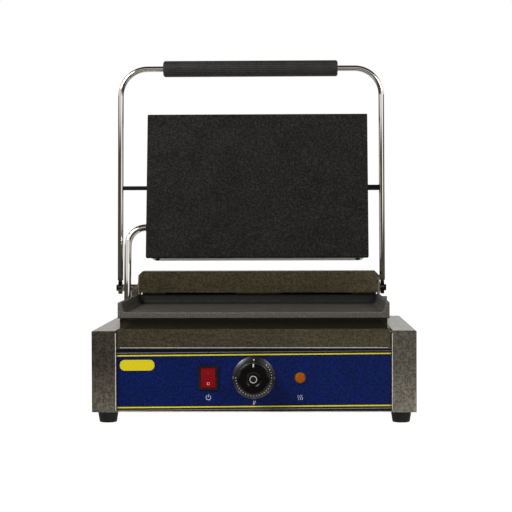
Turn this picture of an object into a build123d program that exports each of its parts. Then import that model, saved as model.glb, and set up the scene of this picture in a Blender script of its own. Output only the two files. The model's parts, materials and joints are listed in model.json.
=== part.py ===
from build123d import *
from math import cos, radians, sin, tan
import os

# Contact grill with one flat cast plate below and one above, held in a hinged tubular handle.
# X runs to the right, Y to the rear and Z up. The origin lies on the table, under the middle
# of the open grill. Depths are measured from the front plane of the body, heights from the
# table. All sizes are in millimetres.

os.makedirs("parts", exist_ok=True)

# Casing
BODY_WIDTH = 410.0
BODY_DEPTH = 312.0
BODY_TOP = 118.0
WING_WIDTH = 31.0
FOOT_HEIGHT = 15.0
SHEET = 1.2
SEAM = 0.3
WELD = 0.1
BEND = 1.5
PANEL_SETBACK = 3.0
PANEL_TOP = 95.0
PANEL_FLANGE = 12.0
PAN_FLANGE = 12.0
PAN_SLOT = (24.0, 4.0)
PAN_SLOT_PITCH = (36.0, 60.0)
PAN_SLOT_COLUMNS = 7
PAN_SLOT_ROWS = 3
REAR_SLOT = (36.0, 4.0)
REAR_SLOT_PITCH = 16.0
REAR_SLOTS = 11
REAR_SLOT_MIDDLE = 65.0

# Side louvres
LOUVRE_ROWS = 6
LOUVRE_COLUMNS = 2
LOUVRE_LENGTH = 84.0
LOUVRE_HEIGHT = 6.5
LOUVRE_BULGE = 2.0
LOUVRE_PITCH = 12.5
LOUVRE_COLUMN_PITCH = 112.0
LOUVRE_LOWEST = 36.0

# Feet
FOOT_SIDE_INSET = 17.0
FOOT_END_INSET = 25.0
FOOT_ROUNDING = 1.0
FOOT_TOP_DIAMETER = 25.0
FOOT_BOTTOM_DIAMETER = 18.0
FOOT_RECESS_DIAMETER = 10.0
FOOT_RECESS_DEPTH = 6.0
FOOT_SCREW_DIAMETER = 5.0
FOOT_SCREW_HEAD = 3.0
FOOT_NUT = 4.0
FOOT_NUT_DIAMETER = 9.2
FOOT_SCREW_END = 3.0

# Front overlay, label and controls
FILM = 0.4
OVERLAY_MARGIN = 1.4
LABEL_INSET = 4.5
LABEL_HEIGHT = 74.8
LABEL_LENGTH = 45.0
LABEL_WIDTH = 15.5
CONTROL_HEIGHT = 58.6
SWITCH_X = -57.5
SWITCH_BEZEL = (25.5, 31.0)
SWITCH_BEZEL_THICKNESS = 2.0
SWITCH_BODY = (21.4, 28.2)
SWITCH_BODY_DEPTH = 21.0
SWITCH_WALL = 1.4
SWITCH_TAG = (6.3, 0.8, 8.0)
SWITCH_TAG_PITCH = 8.0
ROCKER_GAP = 0.3
ROCKER_TILT = 10.0
ROCKER_DISH = 1.6
ROCKER_PROUD = 2.3
ROCKER_PIVOT = 2.0
ROCKER_DEEP = 5.0
ROCKER_TRUNNION = 3.0
DIAL_RING_DIAMETER = 54.0
DIAL_RING_THICKNESS = 5.0
DIAL_RING_BEVEL = 2.5
KNOB_DIAMETER = 41.0
KNOB_TAPER = 0.8
KNOB_HEIGHT = 20.0
KNOB_EDGE = 2.0
KNOB_SOCKET_DEPTH = 12.0
DISH_DIAMETER = 20.0
DISH_DEPTH = 1.6
CAP_DIAMETER = 10.4
CAP_PROUD = 0.8
CAP_SEAT = 1.4
DIAL_SHAFT_DIAMETER = 6.0
THERMOSTAT_BODY = (34.0, 30.0, 38.0)
THERMOSTAT_NECK_DIAMETER = 11.0
THERMOSTAT_SHAFT_IN = 12.0
CAPILLARY_X = 10.0
CAPILLARY_DIAMETER = 1.6
CAPILLARY_PITCHES = 1.15
CAPILLARY_RISE = 8.0
BULB_START = 12.0
BULB_DIAMETER = 4.5
BULB_LENGTH = 70.0
LAMP_X = 58.5
LAMP_BEZEL_DIAMETER = 14.3
LAMP_LENS_DIAMETER = 12.2
LAMP_BODY_DIAMETER = 11.0
LAMP_BODY_DEPTH = 24.0
LAMP_RIM = 1.2
LAMP_DOME = 2.2

# Drip tray
TRAY_SIDE_GAP = 2.5
TRAY_FACE_BOTTOM = 95.6
TRAY_FACE_TOP = 120.3
TRAY_FACE_PROUD = 1.0
TRAY_CORNER = 2.5
TRAY_DEPTH = 180.0
TRAY_WALL_TOP = 116.0
TRAY_FACE_OVERHANG = 1.5
SHELF_TAIL = 6.0

# Lower plate
PLATES_X = -1.5
LOWER_OVERHANG = 1.5
LOWER_FRONT_DEPTH = 47.0
LOWER_REAR_GAP = 26.0
LOWER_SURFACE = 138.3
LOWER_THICKNESS = 7.6
LOWER_WALL = 6.0
LOWER_WALL_TOP = 151.0
LOWER_WALL_FOOT = 5.0
LOWER_WALL_DRAFT = 8.0
LOWER_CORNER = 4.0
LOWER_LIP_ROUNDING = 1.2
SKIRT_INSET = 3.0
SKIRT_SHEET = 1.5
SKIRT_FRONT_DEPTH = 45.0
APRON_X = 3.0
APRON_INSET = 17.5
APRON_TOP = 129.5
APRON_BOTTOM = 117.4
APRON_FRONT_DEPTH = 20.0
APRON_CUT = 45.0

# Heating elements, one under each plate
ELEMENT_DIAMETER = 6.5
ELEMENT_RUNS = 4
ELEMENT_INSET = 8.0
ELEMENT_EDGE = 16.0
ELEMENT_GAP = 0.1
TERMINAL_DIAMETER = 4.0
TERMINAL_LENGTH = 14.0
CLAMP_SHEET = 1.5
CLAMP_INSET = (21.0, 20.0)
PLATE_SCREW_DIAMETER = 6.0
PLATE_SCREW_SIDE_INSET = 23.5
PLATE_SCREW_FRONT_INSET = 19.0
PLATE_SCREW_REAR_INSET = 24.0
PLATE_BOSS_DIAMETER = 16.0

# Hinge at the rear
AXLE_REAR_GAP = 16.0
AXLE_HEIGHT = 160.0
AXLE_DIAMETER = 10.0
HINGE_BOX_INSET = 2.0
HINGE_BOX_DEPTH = 36.0
HINGE_BOX_BOTTOM = 153.6
HINGE_BOX_TOP = 184.5
HINGE_BOX_CORNER = 5.0
BRACKET_SHEET = 2.4
BRACKET_FRONT_REACH = 8.5
BRACKET_FOOT_SETBACK = 1.5
BRACKET_SCREW_OFFSET = 9.0
BRACKET_TOP = 178.0
BRACKET_FOOT_WIDTH = 14.0
BRACKET_FLANGE_WIDTH = 14.0
BRACKET_FLANGE_TOP = 154.6
BRACKET_FLANGE_BEHIND = 7.0
BRACKET_FLANGE_GAP = 4.0
BRACKET_ROUNDING = 5.0
BUSH_DIAMETER = 14.0
BUSH_FLANGE_DIAMETER = 17.0
BUSH_FLANGE = 0.9
RUNNING_GAP = 0.05
SPRING_DIAMETER = 20.0
SPRING_BORE = 11.6
SPRING_LENGTH = 90.0
SPRING_GAP = 0.3
SPRING_WIRE = 3.0
RIVET_DIAMETER = 4.0
RIVET_HEIGHT = 172.0
RIVET_OFFSETS = (-5.0, 8.0)
CASE_SCREW_DIAMETER = 4.0
CASE_SCREW_HEAD_DIAMETER = 8.0
CASE_SCREW_HEAD = 2.4
REAR_SCREWS = 4
REAR_SCREW_INSET = 22.0
REAR_SCREW_HEIGHT = 165.0
COLLAR_DIAMETER = 20.0
COLLAR_LENGTH = 12.0
COLLAR_X = 40.0

# Handle frame
HANDLE_LEAN = 4.0
GRIP_AHEAD = 23.5
ROD_DIAMETER = 8.0
LEFT_ARM_OFFSET = 29.0
RIGHT_ARM_OFFSET = 6.7
ROD_BEND_RADIUS = 39.0
LUG_THICKNESS = 5.0
LUG_WIDTH = 13.0
LUG_TAIL = 9.0
LUG_NECK = 14.0
ARM_SCREW_DIAMETER = 6.0
ARM_SCREW_DEPTH = 14.0
ARM_SCREW_HEAD_DIAMETER = 9.0
ARM_SCREW_HEAD = 3.0
GRIP_SHIFT = -0.55
GRIP_LENGTH = 254.0
GRIP_DIAMETER = 23.4
GRIP_FLUTES = 26
GRIP_FLUTE_RADIUS = 0.9
GRIP_CHAMFER = 2.0
PINS_BEFORE_MIDDLE = 15.5
LEFT_PIN_DIAMETER = 6.0
RIGHT_PIN_DIAMETER = 8.0
PIN_ENGAGEMENT = 13.0
PIN_SPIGOT_DIAMETER = 5.0

# Upper lid, in its own plane through the side pins
LID_LEAN = 11.0
UPPER_SIDE_GAP = 16.5
UPPER_FRONT_GAP = 1.0
UPPER_REAR_GAP = 28.0
UPPER_FACE = 28.0
UPPER_THICKNESS = 8.0
UPPER_STEP = 4.0
COVER_INSET = 1.5
COVER_DEPTH = 40.0
COVER_EDGE = 10.0
COVER_CORNER = 12.0
COVER_SCREW_INSET = 15.0
COVER_SCREW_PLACE = 6.0
COVER_SCREW_DIAMETER = 4.0
COVER_SCREW_HEAD_DIAMETER = 7.0
COVER_SCREW_HEAD = 2.2
COVER_SCREW_LENGTH = 12.0
COVER_BOSS = 10.0
COVER_BOSS_GAP = 0.9
LID_BUSH_DIAMETER = 13.0
LID_BUSH_FLANGE_DIAMETER = 17.0
LID_BUSH_FLANGE = 1.5
LID_BOSS = (14.0, 22.0)
UPPER_INSULATION = 14.0

# Conduit from the left wing to the lid
CONDUIT_DIAMETER = 10.0
CONDUIT_WALL = 1.0
CONDUIT_OFFSET = 17.0
CONDUIT_FOOT_AHEAD = 17.0
CONDUIT_BELOW_PINS = 58.5
CONDUIT_BEND_RADIUS = 26.0
CONDUIT_KNEE_HEIGHT = 150.0
CONDUIT_KNEE_RADIUS = 160.0
FITTING_DIAMETER = 13.0
FITTING_NECK_DIAMETER = 12.0
FITTING_PROUD = 4.0
GLAND_DIAMETER = 16.0
GLAND_NECK_DIAMETER = 13.0
GLAND_HEIGHT = 8.0

# Mains entry
CORD_BORE = 8.0
CORD_GLAND_DIAMETER = 20.0
CORD_GLAND_LENGTH = 14.0
CORD_GLAND_INSET = 54.0
CORD_GLAND_HEIGHT = 40.0
TERMINAL_BLOCK = (26.0, 44.0, 26.0)
BLOCK_CLAMP_LEVELS = (10.0, 18.0)
LEAD_DIAMETER = 3.0
LEAD_SPACING = 12.0
LEAD_BEND = 6.0
LEAD_TURNS = (60.0, 30.0)
LEAD_SLEEVE_DIAMETER = 8.0

# Worked out from the sizes above
HALF_WIDTH = BODY_WIDTH / 2
WING_INNER = HALF_WIDTH - WING_WIDTH
FOOT_X = HALF_WIDTH - FOOT_SIDE_INSET
LABEL_X = -(WING_INNER - LABEL_INSET - LABEL_LENGTH / 2)
CORD_GLAND_X = -(WING_INNER - CORD_GLAND_INSET)
TRAY_WIDTH = 2 * (WING_INNER - TRAY_SIDE_GAP)
LOWER_WIDTH = 2 * (WING_INNER + LOWER_OVERHANG)
LOWER_REAR_DEPTH = BODY_DEPTH - LOWER_REAR_GAP
LOWER_LENGTH = LOWER_REAR_DEPTH - LOWER_FRONT_DEPTH
PLATE_CENTRE_DEPTH = (LOWER_FRONT_DEPTH + LOWER_REAR_DEPTH) / 2
PLATE_SCREW_X = LOWER_WIDTH / 2 - PLATE_SCREW_SIDE_INSET
PLATE_SCREW_DEPTHS = (
    LOWER_FRONT_DEPTH + PLATE_SCREW_FRONT_INSET,
    LOWER_REAR_DEPTH - PLATE_SCREW_REAR_INSET,
)
APRON_TOP_WIDTH = LOWER_WIDTH - 2 * APRON_INSET
AXLE_DEPTH = BODY_DEPTH - AXLE_REAR_GAP
HINGE_BOX_WIDTH = 2 * (WING_INNER - HINGE_BOX_INSET)
HINGE_BOX_FRONT_DEPTH = BODY_DEPTH - HINGE_BOX_DEPTH
BRACKET_FRONT_DEPTH = AXLE_DEPTH - BRACKET_FRONT_REACH
BRACKET_FOOT_FRONT = BRACKET_FRONT_DEPTH + BRACKET_FOOT_SETBACK
BRACKET_SCREW_X = HINGE_BOX_WIDTH / 2 + BRACKET_SCREW_OFFSET
BRACKET_FLANGE_DEPTH = AXLE_DEPTH + BRACKET_FLANGE_BEHIND
RIVET_DEPTHS = [AXLE_DEPTH + offset for offset in RIVET_OFFSETS]
LEFT_ARM_X = -(HINGE_BOX_WIDTH / 2 + LEFT_ARM_OFFSET)
RIGHT_ARM_X = HINGE_BOX_WIDTH / 2 + RIGHT_ARM_OFFSET
GRIP_X = (LEFT_ARM_X + RIGHT_ARM_X) / 2 + GRIP_SHIFT
HANDLE_REACH = AXLE_DEPTH + GRIP_AHEAD
PIN_REACH = AXLE_DEPTH - PLATE_CENTRE_DEPTH + PINS_BEFORE_MIDDLE
CONDUIT_X = -(HINGE_BOX_WIDTH / 2 + CONDUIT_OFFSET)
CONDUIT_FOOT_DEPTH = AXLE_DEPTH - CONDUIT_FOOT_AHEAD
# The upper plate lies within the walls of the lower one when the grill is closed.
UPPER_WIDTH = LOWER_WIDTH - 2 * UPPER_SIDE_GAP
UPPER_ABOVE_PINS = AXLE_DEPTH - PIN_REACH - LOWER_FRONT_DEPTH - UPPER_FRONT_GAP
UPPER_BELOW_PINS = LOWER_REAR_DEPTH - UPPER_REAR_GAP - (AXLE_DEPTH - PIN_REACH)
COVER_SCREW_X = UPPER_WIDTH / 2 - COVER_SCREW_INSET
CLAMP_LENGTH = UPPER_WIDTH - 2 * CLAMP_INSET[0]
CLAMP_WIDTH = UPPER_ABOVE_PINS + UPPER_BELOW_PINS - 2 * CLAMP_INSET[1]
ELEMENT_LENGTH = CLAMP_LENGTH - 2 * ELEMENT_INSET
ELEMENT_PITCH = (CLAMP_WIDTH - 2 * ELEMENT_EDGE) / (ELEMENT_RUNS - 1)
PANEL_BACK = PANEL_SETBACK + SHEET
PAN_TOP = FOOT_HEIGHT + SHEET
REAR_PANEL_FRONT = BODY_DEPTH - 2 * SHEET - SEAM
REAR_PANEL_BACK = REAR_PANEL_FRONT + SHEET
OVERLAY_FRONT = PANEL_SETBACK - FILM
DECK_BOTTOM = BODY_TOP - SHEET
SHELF_TOP = PANEL_TOP + SHEET
RUNNER_TOP = SHELF_TOP + SHEET
TRAY_BOTTOM = RUNNER_TOP + SEAM
LOWER_UNDERSIDE = LOWER_SURFACE - LOWER_THICKNESS
PIN_DEPTH = AXLE_DEPTH + PIN_REACH * sin(radians(HANDLE_LEAN))
PIN_HEIGHT = AXLE_HEIGHT + PIN_REACH * cos(radians(HANDLE_LEAN))
COVER_FRONT = UPPER_FACE - UPPER_THICKNESS
COVER_BACK = COVER_FRONT - COVER_DEPTH
COVER_HALF_WIDTH = UPPER_WIDTH / 2 - COVER_INSET
COVER_TOP = UPPER_ABOVE_PINS - COVER_INSET
COVER_BOTTOM = -UPPER_BELOW_PINS + COVER_INSET
REAR_SCREW_REACH = HINGE_BOX_WIDTH / 2 - REAR_SCREW_INSET
REAR_SCREW_PLACES = [
    (REAR_SCREW_REACH * (2 * i / (REAR_SCREWS - 1) - 1), REAR_SCREW_HEIGHT)
    for i in range(REAR_SCREWS)
]
KNOB_BACK = OVERLAY_FRONT - DIAL_RING_THICKNESS - SEAM
KNOB_FRONT = KNOB_BACK - KNOB_HEIGHT
DISH_FLOOR = KNOB_FRONT + DISH_DEPTH
REAR_MOST = (
    PIN_DEPTH + COVER_TOP * sin(radians(LID_LEAN)) - COVER_BACK * cos(radians(LID_LEAN))
)
ORIGIN_DEPTH = (KNOB_FRONT + REAR_MOST) / 2


def at_depth(depth):
    """Y of a point that lies this far behind the front plane of the body."""
    return depth - ORIGIN_DEPTH


# Planes seen from the front. Local x is X and local y is up; local z faces the user.
def front_plane(depth):
    return Plane(origin=(0, at_depth(depth), 0), x_dir=(1, 0, 0), z_dir=(0, -1, 0))


def leaning_plane(x, depth, height, lean):
    """A plane that faces the user and leans back by some degrees."""
    facing = (0, -cos(radians(lean)), sin(radians(lean)))
    return Plane(origin=(x, at_depth(depth), height), x_dir=(1, 0, 0), z_dir=facing)


def axle_plane(x, facing):
    """A plane square to the axle, facing right for 1 and left for -1."""
    return Plane(origin=(x, at_depth(AXLE_DEPTH), AXLE_HEIGHT), z_dir=(facing, 0, 0))


HANDLE_PLANE = leaning_plane(0, AXLE_DEPTH, AXLE_HEIGHT, HANDLE_LEAN)
LID_PLANE = leaning_plane(PLATES_X, PIN_DEPTH, PIN_HEIGHT, LID_LEAN)
LID_FACING = Axis(LID_PLANE.origin, LID_PLANE.z_dir)
LOW = Align.MIN
HIGH = Align.MAX
MIDDLE = Align.CENTER


# Side wings: folded boxes, open below, with pressed louvres on their outer walls
for side, side_name in ((-1, "left"), (1, "right")):
    toward_middle = HIGH if side > 0 else LOW
    with BuildPart() as wing:
        with Locations((side * HALF_WIDTH, at_depth(0), FOOT_HEIGHT)):
            Box(WING_WIDTH, BODY_DEPTH, BODY_TOP - FOOT_HEIGHT, align=(toward_middle, LOW, LOW))
        bends = wing.edges().filter_by(Axis.Z) + wing.faces().sort_by(Axis.Z)[-1].edges()
        fillet(bends, BEND)
        with Locations((side * (HALF_WIDTH - SHEET), at_depth(SHEET), FOOT_HEIGHT)):
            Box(
                WING_WIDTH - 2 * SHEET,
                BODY_DEPTH - 2 * SHEET,
                BODY_TOP - FOOT_HEIGHT - SHEET,
                align=(toward_middle, LOW, LOW),
                mode=Mode.SUBTRACT,
            )
        # The floor pan passes under the inner wall.
        with Locations((side * WING_INNER, at_depth(BODY_DEPTH / 2), FOOT_HEIGHT)):
            Box(
                4 * SHEET,
                BODY_DEPTH - 2 * SHEET,
                PAN_FLANGE + 2 * SEAM,
                align=(MIDDLE, MIDDLE, LOW),
                mode=Mode.SUBTRACT,
            )
        # Each louvre is a bulge that is open along its lower edge.
        for row in range(LOUVRE_ROWS):
            for column in range(LOUVRE_COLUMNS):
                middle = BODY_DEPTH / 2 + (column - (LOUVRE_COLUMNS - 1) / 2) * LOUVRE_COLUMN_PITCH
                foot = LOUVRE_LOWEST + row * LOUVRE_PITCH
                section = Plane(
                    origin=(side * HALF_WIDTH, at_depth(middle), foot),
                    x_dir=(side, 0, 0),
                    z_dir=(0, -side, 0),
                )
                with BuildSketch(section):
                    with BuildLine():
                        Polyline((-SHEET, LOUVRE_HEIGHT), (-SHEET, 0), (LOUVRE_BULGE, 0))
                        Line((LOUVRE_BULGE, 0), (LOUVRE_BULGE, LOUVRE_HEIGHT / 3))
                        Line((LOUVRE_BULGE, LOUVRE_HEIGHT / 3), (0, LOUVRE_HEIGHT))
                        Line((0, LOUVRE_HEIGHT), (-SHEET, LOUVRE_HEIGHT))
                    make_face()
                extrude(amount=LOUVRE_LENGTH / 2, both=True)
                with BuildSketch(section):
                    with BuildLine():
                        Polyline(
                            (-SHEET, LOUVRE_HEIGHT * 0.6),
                            (-SHEET, 0),
                            (LOUVRE_BULGE - SHEET / 2, 0),
                            (LOUVRE_BULGE - SHEET / 2, LOUVRE_HEIGHT / 3),
                            (-SHEET, LOUVRE_HEIGHT * 0.6),
                        )
                    make_face()
                extrude(amount=LOUVRE_LENGTH / 2 - SHEET, both=True, mode=Mode.SUBTRACT)
        with Locations((side * BRACKET_SCREW_X, at_depth(AXLE_DEPTH), BODY_TOP)):
            Cylinder(CASE_SCREW_DIAMETER / 2 + RUNNING_GAP, 4 * SHEET, mode=Mode.SUBTRACT)
        if side < 0:
            with Locations((CONDUIT_X, at_depth(CONDUIT_FOOT_DEPTH), BODY_TOP)):
                Cylinder(GLAND_NECK_DIAMETER / 2 + RUNNING_GAP, 4 * SHEET, mode=Mode.SUBTRACT)
    wing.part.label = f"{side_name}_wing"
    export_step(wing.part, f"parts/{side_name}_wing.step")

# Floor pan with turned-up edges, screw holes for the feet and rows of air slots
PAN_HALF_WIDTH = HALF_WIDTH - SHEET - SEAM
PAN_FRONT = PANEL_BACK + SEAM
PAN_REAR = REAR_PANEL_FRONT - SEAM
FOOT_PLACES = [
    (x, at_depth(depth))
    for x in (-FOOT_X, FOOT_X)
    for depth in (FOOT_END_INSET, BODY_DEPTH - FOOT_END_INSET)
]
with BuildPart() as base_pan:
    with Locations((0, at_depth(PAN_FRONT), FOOT_HEIGHT)):
        Box(2 * PAN_HALF_WIDTH, PAN_REAR - PAN_FRONT, PAN_FLANGE, align=(MIDDLE, LOW, LOW))
    with Locations((0, at_depth(PAN_FRONT + SHEET), PAN_TOP)):
        Box(
            2 * (PAN_HALF_WIDTH - SHEET),
            PAN_REAR - PAN_FRONT - 2 * SHEET,
            PAN_FLANGE,
            align=(MIDDLE, LOW, LOW),
            mode=Mode.SUBTRACT,
        )
    with BuildSketch(Plane.XY.offset(FOOT_HEIGHT)):
        with Locations(*FOOT_PLACES):
            Circle(FOOT_SCREW_DIAMETER / 2 + SEAM)
        with Locations((0, at_depth(BODY_DEPTH / 2))):
            with GridLocations(*PAN_SLOT_PITCH, PAN_SLOT_COLUMNS, PAN_SLOT_ROWS):
                SlotOverall(*PAN_SLOT)
    extrude(amount=SHEET, mode=Mode.SUBTRACT)
base_pan.part.label = "base_pan"
export_step(base_pan.part, "parts/base_pan.step")

# Rubber feet, tapered downward and hollowed for the screw heads
with BuildPart() as rubber_feet:
    with Locations(*[(x, y, 0) for x, y in FOOT_PLACES]):
        Cone(FOOT_BOTTOM_DIAMETER / 2, FOOT_TOP_DIAMETER / 2, FOOT_HEIGHT, align=(MIDDLE, MIDDLE, LOW))
    fillet(rubber_feet.edges().group_by(Axis.Z)[0], FOOT_ROUNDING)
    with Locations(*[(x, y, 0) for x, y in FOOT_PLACES]):
        Cylinder(
            FOOT_RECESS_DIAMETER / 2, FOOT_RECESS_DEPTH, align=(MIDDLE, MIDDLE, LOW), mode=Mode.SUBTRACT
        )
        Cylinder(
            FOOT_SCREW_DIAMETER / 2 + RUNNING_GAP,
            FOOT_HEIGHT,
            align=(MIDDLE, MIDDLE, LOW),
            mode=Mode.SUBTRACT,
        )
rubber_feet.part.label = "rubber_feet"
export_step(rubber_feet.part, "parts/rubber_feet.step")

# Screws that hold the feet, each with its nut on the pan
with BuildPart() as foot_screws:
    with Locations(*[(x, y, FOOT_RECESS_DEPTH) for x, y in FOOT_PLACES]):
        Cylinder(FOOT_RECESS_DIAMETER / 2 - 2 * SEAM, FOOT_SCREW_HEAD, align=(MIDDLE, MIDDLE, HIGH))
        Cylinder(
            FOOT_SCREW_DIAMETER / 2,
            PAN_TOP + FOOT_NUT + FOOT_SCREW_END - FOOT_RECESS_DEPTH,
            align=(MIDDLE, MIDDLE, LOW),
        )
    with BuildSketch(Plane.XY.offset(PAN_TOP)):
        with Locations(*FOOT_PLACES):
            RegularPolygon(FOOT_NUT_DIAMETER / 2, 6)
    extrude(amount=FOOT_NUT)
foot_screws.part.label = "foot_screws"
export_step(foot_screws.part, "parts/foot_screws.step")

# Front panel between the wings, with a turned-back top edge
PANEL_HALF_WIDTH = WING_INNER - SEAM
with BuildPart() as front_panel:
    with Locations((0, at_depth(PANEL_SETBACK), FOOT_HEIGHT)):
        Box(2 * PANEL_HALF_WIDTH, SHEET, PANEL_TOP - FOOT_HEIGHT, align=(MIDDLE, LOW, LOW))
    with Locations((0, at_depth(PANEL_SETBACK), PANEL_TOP)):
        Box(2 * PANEL_HALF_WIDTH, PANEL_FLANGE, SHEET, align=(MIDDLE, LOW, HIGH))
    with BuildSketch(front_plane(PANEL_SETBACK)):
        with Locations((SWITCH_X, CONTROL_HEIGHT)):
            Rectangle(SWITCH_BODY[0] + SEAM, SWITCH_BODY[1] + SEAM)
        with Locations((0, CONTROL_HEIGHT)):
            Circle(THERMOSTAT_NECK_DIAMETER / 2 + RUNNING_GAP)
        with Locations((LAMP_X, CONTROL_HEIGHT)):
            Circle(LAMP_BODY_DIAMETER / 2 + RUNNING_GAP)
    extrude(amount=-SHEET, mode=Mode.SUBTRACT)
front_panel.part.label = "front_panel"
export_step(front_panel.part, "parts/front_panel.step")

# Printed film over the whole front panel
with BuildPart() as panel_overlay:
    with BuildSketch(front_plane(PANEL_SETBACK)):
        with Locations((0, (FOOT_HEIGHT + OVERLAY_MARGIN + PANEL_TOP) / 2)):
            Rectangle(2 * PANEL_HALF_WIDTH - SEAM, PANEL_TOP - FOOT_HEIGHT - OVERLAY_MARGIN)
        with Locations((SWITCH_X, CONTROL_HEIGHT)):
            Rectangle(SWITCH_BODY[0] + SEAM, SWITCH_BODY[1] + SEAM, mode=Mode.SUBTRACT)
        with Locations((0, CONTROL_HEIGHT)):
            Circle(THERMOSTAT_NECK_DIAMETER / 2 + RUNNING_GAP, mode=Mode.SUBTRACT)
        with Locations((LAMP_X, CONTROL_HEIGHT)):
            Circle(LAMP_BODY_DIAMETER / 2 + RUNNING_GAP, mode=Mode.SUBTRACT)
    extrude(amount=FILM)
panel_overlay.part.label = "panel_overlay"
export_step(panel_overlay.part, "parts/panel_overlay.step")

# Blank label on the film
with BuildPart() as label_plate:
    with BuildSketch(front_plane(OVERLAY_FRONT)):
        with Locations((LABEL_X, LABEL_HEIGHT)):
            RectangleRounded(LABEL_LENGTH, LABEL_WIDTH, LABEL_WIDTH * 0.3)
    extrude(amount=FILM)
label_plate.part.label = "label_plate"
export_step(label_plate.part, "parts/label_plate.step")

# Rear panel: stands between the wings and rises inside the hinge box
with BuildPart() as rear_panel:
    with Locations((0, at_depth(REAR_PANEL_FRONT), FOOT_HEIGHT)):
        Box(2 * PANEL_HALF_WIDTH, SHEET, BODY_TOP - FOOT_HEIGHT, align=(MIDDLE, LOW, LOW))
    with Locations((0, at_depth(REAR_PANEL_FRONT), BODY_TOP)):
        Box(
            HINGE_BOX_WIDTH - 2 * (SHEET + SEAM),
            SHEET,
            HINGE_BOX_TOP - 2 * PANEL_FLANGE / 3 - BODY_TOP,
            align=(MIDDLE, LOW, LOW),
        )
    with BuildSketch(front_plane(REAR_PANEL_FRONT)):
        with Locations((CORD_GLAND_X, CORD_GLAND_HEIGHT)):
            Circle(CORD_GLAND_DIAMETER / 3 + SEAM)
        with Locations(*REAR_SCREW_PLACES):
            Circle(CASE_SCREW_DIAMETER / 2 + RUNNING_GAP)
        with Locations((0, REAR_SLOT_MIDDLE)):
            with GridLocations(REAR_SLOT_PITCH, 0, REAR_SLOTS, 1):
                SlotOverall(*REAR_SLOT, rotation=90)
    extrude(amount=-SHEET, mode=Mode.SUBTRACT)
rear_panel.part.label = "rear_panel"
export_step(rear_panel.part, "parts/rear_panel.step")

# Shelf over the wiring space, on which the drip tray slides
SHELF_REAR = TRAY_DEPTH + SHELF_TAIL
with BuildPart() as tray_shelf:
    with Locations((0, at_depth(PANEL_SETBACK), PANEL_TOP)):
        Box(2 * PANEL_HALF_WIDTH, SHELF_REAR - PANEL_SETBACK, SHEET, align=(MIDDLE, LOW, LOW))
tray_shelf.part.label = "tray_shelf"
export_step(tray_shelf.part, "parts/tray_shelf.step")

# Angle runners at both sides of the shelf
RUNNER_LEDGE = 14.0
with BuildPart() as tray_runners:
    for side in (-1, 1):
        toward_middle = HIGH if side > 0 else LOW
        with Locations((side * PANEL_HALF_WIDTH, at_depth(PANEL_BACK), SHELF_TOP)):
            Box(
                RUNNER_LEDGE, SHELF_REAR - PANEL_BACK, SHEET, align=(toward_middle, LOW, LOW)
            )
            Box(
                SHEET,
                SHELF_REAR - PANEL_BACK,
                TRAY_WALL_TOP - SHELF_TOP,
                align=(toward_middle, LOW, LOW),
            )
tray_runners.part.label = "tray_runners"
export_step(tray_runners.part, "parts/tray_runners.step")

# Drip tray: a shallow drawer of a floor, three low walls welded to it and a tall front face
TRAY_BODY_WIDTH = TRAY_WIDTH - 2 * TRAY_FACE_OVERHANG
TRAY_FACE_BACK = SHEET - TRAY_FACE_PROUD
TRAY_WALL_FOOT = TRAY_BOTTOM + SHEET + WELD
TRAY_WALL_HEIGHT = TRAY_WALL_TOP - TRAY_WALL_FOOT
with BuildPart() as drip_tray:
    with Locations((0, at_depth(TRAY_FACE_BACK + WELD), TRAY_BOTTOM)):
        Box(
            TRAY_BODY_WIDTH,
            TRAY_DEPTH - TRAY_FACE_BACK - WELD,
            SHEET,
            align=(MIDDLE, LOW, LOW),
        )
    with Locations((0, at_depth(TRAY_DEPTH), TRAY_WALL_FOOT)):
        Box(TRAY_BODY_WIDTH, SHEET, TRAY_WALL_HEIGHT, align=(MIDDLE, HIGH, LOW))
    for side in (-1, 1):
        wall_x = side * (TRAY_BODY_WIDTH - SHEET) / 2
        with Locations((wall_x, at_depth(TRAY_FACE_BACK + WELD), TRAY_WALL_FOOT)):
            Box(
                SHEET,
                TRAY_DEPTH - TRAY_FACE_BACK - SHEET - 2 * WELD,
                TRAY_WALL_HEIGHT,
                align=(MIDDLE, LOW, LOW),
            )
    with BuildSketch(front_plane(TRAY_FACE_BACK)) as tray_face:
        with Locations((0, TRAY_FACE_BOTTOM)):
            Rectangle(TRAY_WIDTH, TRAY_FACE_TOP - TRAY_FACE_BOTTOM, align=(MIDDLE, LOW))
        fillet(tray_face.vertices(), TRAY_CORNER)
    extrude(amount=SHEET)
drip_tray.part.label = "drip_tray"
export_step(drip_tray.part, "parts/drip_tray.step")

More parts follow.
